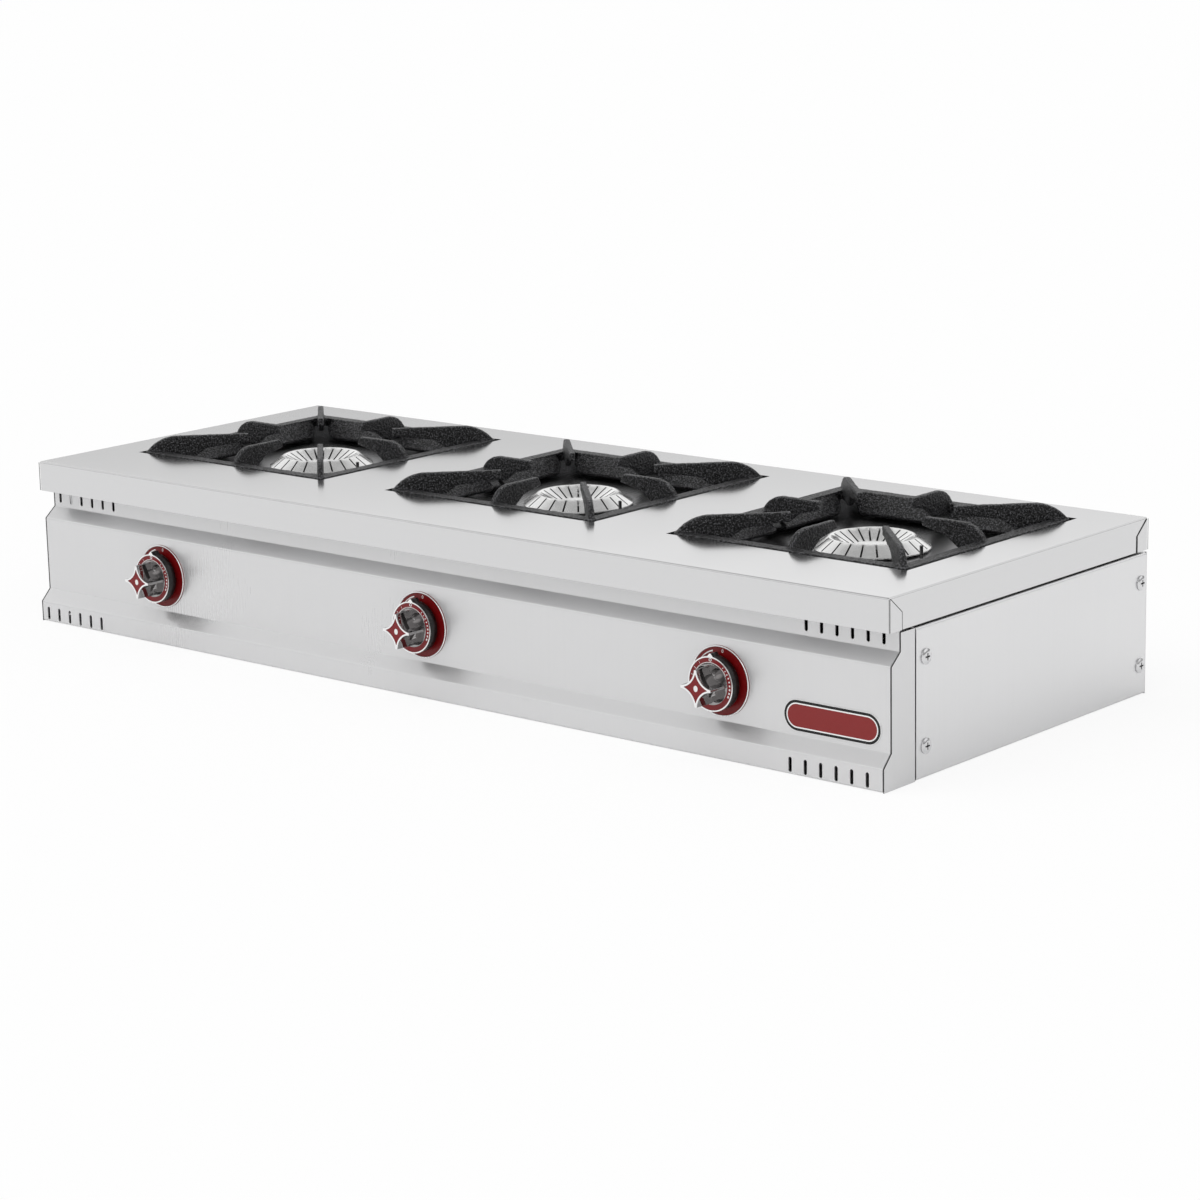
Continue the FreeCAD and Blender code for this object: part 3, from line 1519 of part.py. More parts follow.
def bent_tube(points, radius, bend):
    """A round tube along straight runs that are joined by arcs of one radius."""
    edges = []
    start = points[0]
    for before, corner, after in zip(points, points[1:], points[2:]):
        back = (before - corner).normalize()
        on = (after - corner).normalize()
        reach = bend / math.tan(back.getAngle(on) / 2)
        enter = corner + back * reach
        leave = corner + on * reach
        middle = (back + on).normalize()
        distance = bend / math.sin(back.getAngle(on) / 2)
        crest = corner + middle * (distance - bend)
        edges.append(Part.LineSegment(start, enter).toShape())
        edges.append(Part.Arc(enter, crest, leave).toShape())
        start = leave
    edges.append(Part.LineSegment(start, points[-1]).toShape())
    along = (points[1] - points[0]).normalize()
    section = Part.Wire([Part.makeCircle(radius, points[0], along)])
    return Part.Wire(edges).makePipeShell([section], True, True)


def thermocouple(name):
    """Probe beside the crown, its nut under the well's floor, and its lead to the tap."""
    x = burner_x(name) + S.probe_offset_x
    y = burner_row + S.probe_offset_y
    floor = S.hob_height - S.well_floor_drop - S.well_sheet
    top = S.hob_height - S.probe_top_drop
    nut_base = floor - S.probe_nut_height
    probe = Part.makeCylinder(S.probe_radius.value, (top - nut_base).value,
                              Vector(x.value, y.value, nut_base.value))
    nut = Part.makeCylinder(S.probe_nut_radius.value, S.probe_nut_height.value,
                            Vector(x.value, y.value, nut_base.value))
    station = face_plane + barrel_front + S.magnet_station
    end_x = knob_x(name) + S.magnet_reach
    route = [
        (x, y, nut_base),
        (x, y, lead_height),
        (x, station, lead_height),
        (x, station, knob_height),
        (end_x, station, knob_height),
    ]
    points = [Vector(a.value, b.value, c.value) for a, b, c in route]
    lead = bent_tube(points, S.lead_radius.value, S.lead_bend.value)
    return [probe.fuse([nut, lead])]


# ---------------------------------------------------------------- document


def add_solids(name, solids):
    """A sub-part whose solids are worked out in code from the sheet's sizes."""
    feature = doc.addObject("Part::Feature", name)
    feature.Label = name
    feature.Shape = solids[0] if len(solids) == 1 else Part.makeCompound(solids)
    return feature


def make_everything():
    parts = [make_hob_top(), make_fascia(), make_rear_panel(), make_badge_plate()]
    for label, sign in SIDES.items():
        parts.append(make_cheek(label, sign))
        parts.append(make_side_panel(label, sign))
    parts.append(make_burner_rail("front", -1))
    parts.append(make_burner_rail("rear", 1))
    parts.append(add_solids("corner_posts", make_corner_posts()))
    master = make_screw_master()
    doc.recompute()
    parts.append(add_solids("side_screws", side_screws(master)))
    parts.append(add_solids("rear_screws", rear_screws(master)))
    makers = (
        make_drip_well, make_pan_support, make_crown, make_burner_body, make_injector,
        make_supply_tube, make_gas_valve, make_valve_plug, make_spindle, make_knob,
        make_knob_insert, make_bezel,
    )
    for name in PLACES:
        for maker in makers:
            parts.append(maker(name))
        parts.append(add_solids(f"valve_spring_{name}", valve_spring(name)))
        parts.append(add_solids(f"thermocouple_{name}", thermocouple(name)))
    parts.append(make_gas_rail())
    parts.append(make_gas_inlet())
    parts.append(add_solids("rail_brackets", make_rail_brackets()))
    return parts


def check_everything(parts):
    for item in doc.Objects:
        if "Invalid" in item.State or "Error" in item.State:
            raise RuntimeError(f"{item.Name} failed: {item.State}")
    for part in parts:
        if part.Shape.isNull() or not part.Shape.isValid() or not part.Shape.Solids:
            raise RuntimeError(f"{part.Label} has no valid solid")


def write_everything(parts):
    os.makedirs("parts", exist_ok=True)
    for part in parts:
        part.Shape.exportStep(f"parts/{part.Label}.step")


parts = make_everything()
doc.recompute()
check_everything(parts)
write_everything(parts)
for part in parts:
    box = part.Shape.BoundBox
    print(f"{part.Label}: {len(part.Shape.Solids)} solids, {part.Shape.Volume / 1000:.1f} cm3, "
          f"x {box.XMin:.1f}..{box.XMax:.1f} y {box.YMin:.1f}..{box.YMax:.1f} "
          f"z {box.ZMin:.1f}..{box.ZMax:.1f}")
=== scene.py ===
import bmesh
import bpy
import json
import math
from mathutils import Matrix, Vector, noise

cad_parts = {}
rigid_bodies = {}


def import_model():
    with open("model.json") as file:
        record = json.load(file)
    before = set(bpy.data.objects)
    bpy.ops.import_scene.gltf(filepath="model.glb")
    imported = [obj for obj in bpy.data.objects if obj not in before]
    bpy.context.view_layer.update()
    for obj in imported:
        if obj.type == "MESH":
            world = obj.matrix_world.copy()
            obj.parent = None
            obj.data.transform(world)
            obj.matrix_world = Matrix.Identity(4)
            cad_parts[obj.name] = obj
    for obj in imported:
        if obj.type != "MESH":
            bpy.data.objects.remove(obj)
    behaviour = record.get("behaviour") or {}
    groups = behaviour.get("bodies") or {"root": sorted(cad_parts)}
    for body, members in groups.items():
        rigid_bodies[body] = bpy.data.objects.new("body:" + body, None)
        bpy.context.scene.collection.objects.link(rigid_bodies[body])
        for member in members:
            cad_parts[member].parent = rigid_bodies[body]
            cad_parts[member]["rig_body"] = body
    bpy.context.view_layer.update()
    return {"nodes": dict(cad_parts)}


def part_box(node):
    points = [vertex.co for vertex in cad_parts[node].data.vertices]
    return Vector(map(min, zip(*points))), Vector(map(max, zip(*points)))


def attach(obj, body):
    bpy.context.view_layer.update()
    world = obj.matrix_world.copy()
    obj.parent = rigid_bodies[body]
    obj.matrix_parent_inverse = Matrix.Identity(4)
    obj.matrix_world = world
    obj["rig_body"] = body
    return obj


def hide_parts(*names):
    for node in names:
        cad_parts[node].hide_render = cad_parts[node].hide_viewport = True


# Three-burner countertop gas range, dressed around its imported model. Lengths are in metres.

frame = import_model()

MM = 0.001
PLACES = ("left", "middle", "right")
SIDES = ("left", "right")

CAMERA_AT = Vector((2.39717, -2.71364, 0.90159))
CAMERA_RIGHT = Vector((0.759697, 0.649934, -0.021136))
CAMERA_UP = Vector((-0.131639, 0.185538, 0.973780))
CAMERA_LENS = 102.06
CAMERA_SENSOR = 36.0

STEEL = (0.70, 0.70, 0.705)

# ---------------------------------------------------------------- node materials

# A colour mix node's own places: its factor, its two colours and its result.
MIX_FACTOR = 0
MIX_FIRST = 6
MIX_SECOND = 7
MIX_RESULT = 2


def new_material(name, slots):
    """A Principled material. Its constants are set on the shader's own sockets."""
    material = bpy.data.materials.new(name)
    material.use_nodes = True
    shader = material.node_tree.nodes["Principled BSDF"]
    for socket, value in slots.items():
        if isinstance(value, tuple):
            value = (*value, 1.0)
        shader.inputs[socket].default_value = value
    return material


def add_node(material, kind, slots=None, **settings):
    """A node with its settings; a slot's value is a number, a vector or another node's output."""
    node = material.node_tree.nodes.new(kind)
    for name, value in settings.items():
        setattr(node, name, value)
    for socket, value in (slots or {}).items():
        if isinstance(value, bpy.types.NodeSocket):
            material.node_tree.links.new(value, node.inputs[socket])
        else:
            node.inputs[socket].default_value = value
    return node


def feed(material, socket, output):
    """Link an output to the material's own shader."""
    shader = material.node_tree.nodes["Principled BSDF"]
    material.node_tree.links.new(output, shader.inputs[socket])


def noise_field(material, scale, detail=3.0, roughness=0.5, kind="ShaderNodeTexNoise"):
    """Noise in the object's own space, with so many features a metre along each axis."""
    place = add_node(material, "ShaderNodeTexCoord")
    mapping = add_node(material, "ShaderNodeMapping", {
        "Vector": place.outputs["Object"],
        "Scale": scale,
    })
    slots = {"Vector": mapping.outputs["Vector"], "Scale": 1.0}
    if kind == "ShaderNodeTexNoise":
        slots["Detail"] = detail
        slots["Roughness"] = roughness
    texture = add_node(material, kind, slots)
    return texture.outputs[0]


def spread(material, field, low, high, start=0.3, stop=0.7):
    """The field stretched between two numbers."""
    node = add_node(material, "ShaderNodeMapRange", {
        "Value": field, "From Min": start, "From Max": stop, "To Min": low, "To Max": high,
    })
    return node.outputs["Result"]


def blend_colours(material, factor, first, second):
    """One colour that turns into another with the factor."""
    node = material.node_tree.nodes.new("ShaderNodeMix")
    node.data_type = "RGBA"
    material.node_tree.links.new(factor, node.inputs[MIX_FACTOR])
    node.inputs[MIX_FIRST].default_value = (*first, 1.0)
    node.inputs[MIX_SECOND].default_value = (*second, 1.0)
    return node.outputs[MIX_RESULT]


def add_bump(material, field, strength, distance, before=None):
    """The surface's normal tilted by the field, on top of an earlier bump if there is one."""
    slots = {"Height": field, "Strength": strength, "Distance": distance}
    if before:
        slots["Normal"] = before
    return add_node(material, "ShaderNodeBump", slots).outputs["Normal"]


def shade(colour, factor):
    """The colour with each channel times the factor."""
    return tuple(channel * factor for channel in colour)


def grain_scale(axis, along, across):
    """Feature counts a metre for streaks that run along one axis."""
    return tuple(along if letter == axis else across for letter in "xyz")


def blend_tones(material, field, colour, change):
    """The colour a little darker and lighter with the field."""
    tone = spread(material, field, 0.0, 1.0)
    return blend_colours(material, tone, shade(colour, 1 - change), shade(colour, 1 + change))


# Streaks and clouds of brushed sheet, as features a metre along and across the grain.
STREAKS = (30.0, 2600.0)
BANDS = (2.5, 240.0)
CLOUDS = 4.0
BAND_TONE = 0.004
STREAK_ROUGHNESS = 0.006
HANDLING = (0.92, 1.10)
FINE_DEPTH = 0.05 * MM


def brushed_metal(name, colour, axis, roughness, strength=0.03, metallic=1.0):
    """Rolled or brushed sheet: fine streaks along one axis, broad soft bands and handling."""
    material = new_material(name, {"Metallic": metallic, "Specular IOR Level": 0.5})
    fine = noise_field(material, grain_scale(axis, *STREAKS), detail=2.0)
    broad = noise_field(material, grain_scale(axis, *BANDS), detail=2.0)
    cloud = noise_field(material, (CLOUDS,) * 3, detail=3.0)
    feed(material, "Base Color", blend_tones(material, broad, colour, BAND_TONE))
    streak = add_node(material, "ShaderNodeMath", {
        0: spread(material, fine, -STREAK_ROUGHNESS, STREAK_ROUGHNESS),
        1: spread(material, cloud, roughness * HANDLING[0], roughness * HANDLING[1]),
    }, operation="ADD")
    feed(material, "Roughness", streak.outputs[0])
    feed(material, "Normal", add_bump(material, fine, strength, FINE_DEPTH))
    return material


# A casting's skin: how much finer its specks are, where its edges begin and end in Pointiness and how
# much painted highlight they add to the specks, where specks begin and end in their noise, and the
# depths of both.
SPECK_FINENESS = 1.6
EDGE_RANGE = (0.52, 0.60)
EDGE_HIGHLIGHT = 0.22
SPECK_RANGE = (0.51, 0.66)
SKIN_SHADE = 0.5
SKIN_ROUGHNESS = 0.10
SKIN_DEPTH = 2.2 * MM
SPECK_STRENGTH = 0.7
SPECK_DEPTH = 0.9 * MM


def cast_metal(name, colour, roughness, grain, strength, speck=4.0):
    """Sand casting: rough skin with bright specks, partly its sandy grain and partly painted glints,
    and a painted highlight along its edges that brings out more of them.
    """
    material = new_material(name, {"Metallic": 0.0, "Specular IOR Level": 0.35})
    skin = noise_field(material, (grain,) * 3, detail=2.0, roughness=0.55)
    specks = noise_field(material, (grain * SPECK_FINENESS,) * 3, detail=1.0)
    shape = add_node(material, "ShaderNodeNewGeometry")
    # Painted highlight: convex edges, found by Pointiness, lift the bright specks there.
    edges = spread(material, shape.outputs["Pointiness"], 0.0, EDGE_HIGHLIGHT, *EDGE_RANGE)
    specks_and_edge_highlight = add_node(material, "ShaderNodeMath", {0: specks, 1: edges}, operation="ADD")
    grain_and_glints = spread(material, specks_and_edge_highlight.outputs[0], 0.0, 1.0, *SPECK_RANGE)
    dark, bright = shade(colour, SKIN_SHADE), shade(colour, speck)
    feed(material, "Base Color", blend_colours(material, grain_and_glints, dark, bright))
    gloss = spread(material, skin, roughness + SKIN_ROUGHNESS, roughness - SKIN_ROUGHNESS)
    feed(material, "Roughness", gloss)
    normal = add_bump(material, skin, strength, SKIN_DEPTH)
    feed(material, "Normal", add_bump(material, specks, strength * SPECK_STRENGTH, SPECK_DEPTH, normal))
    return material


SMUDGES = 60.0
SMUDGE_TONE = (0.95, 1.04)
SMUDGE_ROUGHNESS = (0.75, 1.3)


def turned_metal(name, colour, roughness, metallic=1.0, grain=900.0, strength=0.04):
    """Smooth plated or turned metal with faint marks and smudges."""
    material = new_material(name, {"Metallic": metallic, "Specular IOR Level": 0.5})
    marks = noise_field(material, (grain,) * 3, detail=2.0)
    smudge = noise_field(material, (SMUDGES,) * 3, detail=4.0)
    tone = spread(material, smudge, 0.0, 1.0)
    dark, light = (shade(colour, share) for share in SMUDGE_TONE)
    feed(material, "Base Color", blend_colours(material, tone, dark, light))
    rough, rougher = (roughness * share for share in SMUDGE_ROUGHNESS)
    feed(material, "Roughness", spread(material, smudge, rough, rougher))
    feed(material, "Normal", add_bump(material, marks, strength, FINE_DEPTH))
    return material


PRINT_GRAIN = 1500.0
PRINT_SMUDGES = 90.0
PRINT_ROUGHNESS = (0.8, 1.25)
PRINT_BUMP = 0.06
PRINT_DEPTH = 0.08 * MM


def printed_plate(name, colour, roughness, fleck):
    """Glossy print on metal: a clear coat over colour with a fine fleck."""
    material = new_material(name, {
        "Metallic": 0.0, "Specular IOR Level": 0.2, "Coat Weight": 0.25, "Coat Roughness": 0.10,
    })
    grain = noise_field(material, (PRINT_GRAIN,) * 3, detail=3.0)
    smudge = noise_field(material, (PRINT_SMUDGES,) * 3, detail=3.0)
    feed(material, "Base Color", blend_tones(material, grain, colour, fleck))
    rough, rougher = (roughness * share for share in PRINT_ROUGHNESS)
    feed(material, "Roughness", spread(material, smudge, rough, rougher))
    feed(material, "Normal", add_bump(material, grain, PRINT_BUMP, PRINT_DEPTH))
    return material


HOB_STEEL = brushed_metal("hob_steel", STEEL, "x", 0.15)
FASCIA_STEEL = brushed_metal("fascia_steel", STEEL, "z", 0.29, strength=0.004, metallic=0.62)
# The side panels' steel, painted 12% lighter than the same steel elsewhere: painted light for the
# sides.
SIDE_STEEL_LIT = brushed_metal("side_steel_painted_light", shade(STEEL, 1.12), "z", 0.33, strength=0.006)
REAR_STEEL = brushed_metal("rear_steel", shade(STEEL, 0.97), "x", 0.34)
ZINC = turned_metal("zinc_plate", (0.48, 0.49, 0.50), 0.42, grain=300.0)
SCREW = turned_metal("screw_plate", (0.70, 0.70, 0.71), 0.16)
TRAY = brushed_metal("tray_steel", (0.32, 0.32, 0.325), "y", 0.27)
IRON = cast_metal("cast_iron", (0.008, 0.008, 0.0085), 0.34, 400.0, 0.9, speck=12.0)
CASTING = cast_metal("burner_casting", (0.05, 0.05, 0.05), 0.62, 380.0, 0.3)
CROWN = turned_metal("crown_alloy", (0.88, 0.88, 0.875), 0.22, metallic=0.80, grain=1400.0,
                     strength=0.05)
# Near-black painted shade for slot walls, screw recesses, the end plates' thin edges and the gaps at
# the hob's corner tabs.
PAINTED_SHADE = turned_metal("painted_shade_dark", (0.010, 0.010, 0.010), 0.60, metallic=0.0)
PROBE = turned_metal("probe_steel", (0.20, 0.20, 0.20), 0.30)
BRASS = turned_metal("brass", (0.72, 0.52, 0.22), 0.30)
TUBE = turned_metal("drawn_tube", (0.60, 0.58, 0.55), 0.32)
PIPE = turned_metal("galvanised_pipe", (0.46, 0.46, 0.47), 0.45, grain=260.0, strength=0.1)
CHROME = turned_metal("chrome", (0.34, 0.33, 0.33), 0.06)
# Near-black plate on the chrome knob's sideways skirt: painted shade.
SHADED_SKIRT = turned_metal("knob_skirt_painted_shade", (0.055, 0.052, 0.052), 0.34)
RIM = turned_metal("bright_rim", (0.93, 0.93, 0.93), 0.30)
PRINT_RED = printed_plate("ring_red", (0.190, 0.009, 0.012), 0.42, 0.20)
BEZEL_RED = printed_plate("plate_red", (0.150, 0.0012, 0.0022), 0.45, 0.22)
BADGE_RED = printed_plate("badge_red", (0.230, 0.018, 0.018), 0.36, 0.10)
PRINT_WHITE = printed_plate("print_white", (0.80, 0.80, 0.79), 0.40, 0.02)
PRINT_BLACK = printed_plate("print_black", (0.006, 0.006, 0.006), 0.35, 0.10)

NODE_MATERIALS = {
    "hob_top": HOB_STEEL, "fascia": FASCIA_STEEL, "rear_panel": REAR_STEEL,
    "corner_posts": ZINC, "side_screws": SCREW, "rear_screws": SCREW,
    "burner_rail_front": ZINC, "burner_rail_rear": ZINC, "gas_rail": PIPE,
    "gas_inlet_pipe": PIPE, "rail_brackets": ZINC, "badge_plate": RIM,
    "fascia_cheek": FASCIA_STEEL, "side_panel": SIDE_STEEL_LIT, "drip_well": TRAY,
    "pan_support": IRON, "burner_crown": CROWN, "burner_body": CASTING, "injector": BRASS,
    "supply_tube": TUBE, "gas_valve": BRASS, "valve_plug": BRASS, "valve_spindle": SCREW,
    "valve_spring": SCREW, "thermocouple": PROBE, "knob": CHROME, "knob_insert": PRINT_RED,
    "knob_bezel": BEZEL_RED,
}


def kind_of(node_name):
    """The node's name without its place."""
    for place in PLACES:
        if node_name.endswith("_" + place):
            return node_name[:-len(place) - 1]
    return node_name


def finish_nodes():
    """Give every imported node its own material."""
    for name, node in frame["nodes"].items():
        node.data.materials.clear()
        node.data.materials.append(NODE_MATERIALS[kind_of(name)])


# ---------------------------------------------------------------- mesh helpers

# A face whose normal has less than this share of an axis looks sideways to it.
SIDEWAYS = 0.3


def add_piece(name, mesh, body, materials, replaced=(), at=(0.0, 0.0, 0.0)):
    """A new piece at its place, which rides on a body and may stand for some of its nodes."""
    piece = bpy.data.objects.new(name, mesh)
    piece.location = at
    bpy.context.scene.collection.objects.link(piece)
    for material in materials:
        mesh.materials.append(material)
    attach(piece, body)
    if replaced:
        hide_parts(*replaced)


def mesh_from(bm, name, smooth_angle=30.0):
    """The finished mesh, smooth but for edges sharper than the angle."""
    mesh = bpy.data.meshes.new(name)
    bmesh.ops.recalc_face_normals(bm, faces=bm.faces)
    bm.to_mesh(mesh)
    bm.free()
    mesh.shade_smooth()
    mesh.set_sharp_from_angle(angle=math.radians(smooth_angle))
    return mesh


def copied_mesh(node_name, merge=0.002 * MM):
    """A free copy of a node's mesh with the points along its seams joined."""
    bm = bmesh.new()
    bm.from_mesh(frame["nodes"][node_name].data)
    bmesh.ops.remove_doubles(bm, verts=bm.verts, dist=merge)
    return bm


def apply_modifiers(piece):
    """Bake the piece's modifiers into its mesh."""
    depsgraph = bpy.context.evaluated_depsgraph_get()
    baked = bpy.data.meshes.new_from_object(piece.evaluated_get(depsgraph))
    piece.modifiers.clear()
    piece.data = baked
    return baked


def centre_of(node_name):
    """The middle of a node's box."""
    low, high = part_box(node_name)
    return (low + high) / 2


def add_loop(bm, loop, y):
    """The loop's points as corners of the mesh, all at one depth."""
    return [bm.verts.new((x, y, z)) for x, z in loop]


def add_plate(bm, outer, inner, back, front, paint=0):
    """A closed plate between two loops of as many points each, from back to front along Y."""
    faces = []
    loops = [add_loop(bm, outer, back), add_loop(bm, outer, front)]
    if inner:
        loops += [add_loop(bm, inner, front), add_loop(bm, inner, back)]
        loops.append(loops[0])
    for first, second in zip(loops, loops[1:]):
        for index in range(len(outer)):
            after = (index + 1) % len(outer)
            faces.append(bm.faces.new((first[index], first[after], second[after], second[index])))
    if not inner:
        faces += [bm.faces.new(loop) for loop in loops]
    for face in faces:
        face.material_index = paint


def ring_loop(across, up=None, count=96, centre=(0.0, 0.0)):
    """A circle, or an ellipse where its half height up differs from its half width."""
    up = across if up is None else up
    turns = [math.tau * index / count for index in range(count)]
    return [(centre[0] + across * math.sin(turn), centre[1] + up * math.cos(turn)) for turn in turns]


def pill_loop(length, height, inset, steps=20):
    """A long slot's outline with round ends, drawn in by the inset."""
    radius = height / 2 - inset
    reach = (length - height) / 2
    loop = []
    for sign in (1, -1):
        for step in range(steps + 1):
            turn = math.pi * step / steps
            loop.append((sign * (reach + radius * math.sin(turn)), sign * radius * math.cos(turn)))
    return loop


def star_loop(tip, width, waist, steps=12):
    """Four narrow tips joined by arcs that curve in to the waist."""
    half = width / 2
    rise = (tip + half) / math.sqrt(2) - waist
    span = tip - half
    radius = (span * span / 2 + rise * rise) / (rise * 2)
    hub = (waist + radius) / math.sqrt(2)
    first = math.atan2(tip - hub, half - hub)
    last = math.atan2(half - hub, tip - hub)
    if first > 0:
        first -= math.tau
    loop = []
    for quarter in range(4):
        lean = -math.pi / 2 * quarter
        cosine, sine = math.cos(lean), math.sin(lean)
        for step in range(steps + 1):
            turn = first + (last - first) * step / steps
            x = hub + radius * math.cos(turn)
            z = hub + radius * math.sin(turn)
            loop.append((x * cosine - z * sine, x * sine + z * cosine))
    return loop


def disc_loop(radius, pointer_half, pointer_tip_half, reach, count=96):
    """A disc's outline with a blunt pointer at its top."""
    start = math.asin(pointer_half / radius)
    turns = [start + (math.tau - start * 2) * index / (count - 5) for index in range(count - 4)]
    loop = [(radius * math.sin(turn), radius * math.cos(turn)) for turn in turns]
    tip = radius + reach
    return loop + [(pointer_tip_half * share, tip) for share in (-1, -0.5, 0.5, 1)]


def add_arc_band(bm, start, stop, middle, first_half, last_half, back, front, steps=24):
    """A curved line on a dial whose half width goes from one value to another."""
    outer, inner = [], []
    for step in range(steps + 1):
        share = step / steps
        turn = math.radians(start + (stop - start) * share)
        half = first_half + (last_half - first_half) * share
        outer.append(((middle + half) * math.sin(turn), (middle + half) * math.cos(turn)))
        inner.append(((middle - half) * math.sin(turn), (middle - half) * math.cos(turn)))
    add_plate(bm, outer + inner[::-1], None, back, front)


def add_ring_bead(bm, outer, inner, back, height, count=96, steps=8):
    """A half-round bead that runs round a circle and stands out towards the front."""
    middle = (outer + inner) / 2
    half = (outer - inner) / 2
    loops = []
    for step in range(steps + 1):
        turn = math.pi * step / steps
        loop = ring_loop(middle + half * math.cos(turn), count=count)
        loops.append(add_loop(bm, loop, back - height * math.sin(turn)))
    loops.append(loops[0])
    for first, second in zip(loops, loops[1:]):
        for index in range(count):
            after = (index + 1) % count
            bm.faces.new((first[index], first[after], second[after], second[index]))


def add_numeral(bm, character, height, centre, lean, back, front):
    """A plain printed number, set upright from the dial's middle."""
    curve = bpy.data.curves.new("numeral", "FONT")
    curve.body = character
    curve.size = height
    curve.align_x = "CENTER"
    curve.align_y = "CENTER"
    curve.extrude = (back - front) / 2
    draft = bpy.data.objects.new("numeral", curve)
    bpy.context.scene.collection.objects.link(draft)
    flat = bpy.data.meshes.new_from_object(draft.evaluated_get(bpy.context.evaluated_depsgraph_get()))
    flat.transform(Matrix.Rotation(math.pi / 2, 4, "X"))
    flat.transform(Matrix.Rotation(lean, 4, "Y"))
    flat.transform(Matrix.Translation((centre[0], (back + front) / 2, centre[1])))
    bm.from_mesh(flat)
    bpy.data.objects.remove(draft)
    bpy.data.meshes.remove(flat)
    bpy.data.curves.remove(curve)


def set_piece(name, bm, place, node, materials, smooth_angle=30.0):
    """The mesh as a piece on a node's body, with its own origin at the place given."""
    mesh = mesh_from(bm, name, smooth_angle)
    add_piece(name, mesh, frame["nodes"][node]["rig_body"], materials, at=place)


# ---------------------------------------------------------------- taps

BEZEL_BEAD = 1.5 * MM
BEZEL_BEAD_HEIGHT = 0.8 * MM
PRINT = 0.06 * MM
RING_SHEET = 0.6 * MM
STAR_REACH = 23.0 * MM
STAR_TIP = 18.5 * MM
STAR_TIP_WIDTH = 2.6 * MM
STAR_WAIST = 9.5 * MM
STAR_BORDER = 1.7 * MM
STAR_TIP_BORDER = 4.4 * MM
DIAMOND_TIP_WIDTH = 0.65 * MM
POINTER_HALF = 3.5 * MM
POINTER_TIP_HALF = 0.8 * MM
POINTER_REACH = 2.8 * MM
TRIM = 0.22 * MM
TRIM_LAP = 0.1 * MM
BEVEL = 0.28 * MM
BEVEL_ANGLE = math.radians(32.0)
FLAT_ANGLE = math.radians(0.6)
SKIRT_BAND = 0.6 * MM

# Printed lines: turns are degrees clockwise from the top, places are shares of the dial's radius.
PLATE_ARC = (-64.0, -16.0)
PLATE_ARC_AT = 0.86
PLATE_ARC_HALVES = (0.15 * MM, 0.75 * MM)
PLATE_NUMERAL = 5.0 * MM
PLATE_NUMERAL_AT = (0.10, 0.85)
PLATE_NUMERAL_LEAN = 0.12
RING_ARC = (-70.0, 62.0)
RING_ARC_AT = 0.815
RING_ARC_HALF = 0.30 * MM
RING_MARK_AT = 0.92
RING_MARK_RADII = (1.75 * MM, 1.0 * MM)
RING_NUMERAL = 3.2 * MM
RING_NUMERAL_START = -74.0
RING_NUMERAL_STEP = 20.0
RING_SCALE_AT = 0.90
TICKS = 9
TICK_START = 40.0
TICK_STEP = 9.0
TICK_SWEEP = 1.6
TICK_GROWTH = 0.5
TICK_HALF = 0.85 * MM
DOT_HALF = (2.5 * MM, 3.1 * MM)


def dial_spot(radius, degrees):
    """A place on a dial, so far from its middle."""
    turn = math.radians(degrees)
    return radius * math.sin(turn), radius * math.cos(turn)


def dress_bezel(place):
    """Rounded silver edge, a tapering line and a plain nought on the red plate."""
    node = f"knob_bezel_{place}"
    low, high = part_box(node)
    middle = Vector(((low.x + high.x) / 2, low.y, (low.z + high.z) / 2))
    radius = (high.x - low.x) / 2
    bead = bmesh.new()
    add_ring_bead(bead, radius, radius - BEZEL_BEAD, 0.0, BEZEL_BEAD_HEIGHT)
    set_piece(f"bezel_bead_{place}", bead, middle, node, [RIM], 60.0)
    lines = bmesh.new()
    add_arc_band(lines, *PLATE_ARC, radius * PLATE_ARC_AT, *PLATE_ARC_HALVES, 0.0, -PRINT)
    spot = tuple(radius * share for share in PLATE_NUMERAL_AT)
    add_numeral(lines, "0", PLATE_NUMERAL, spot, PLATE_NUMERAL_LEAN, 0.0, -PRINT)
    set_piece(f"bezel_print_{place}", lines, middle, node, [PRINT_WHITE])


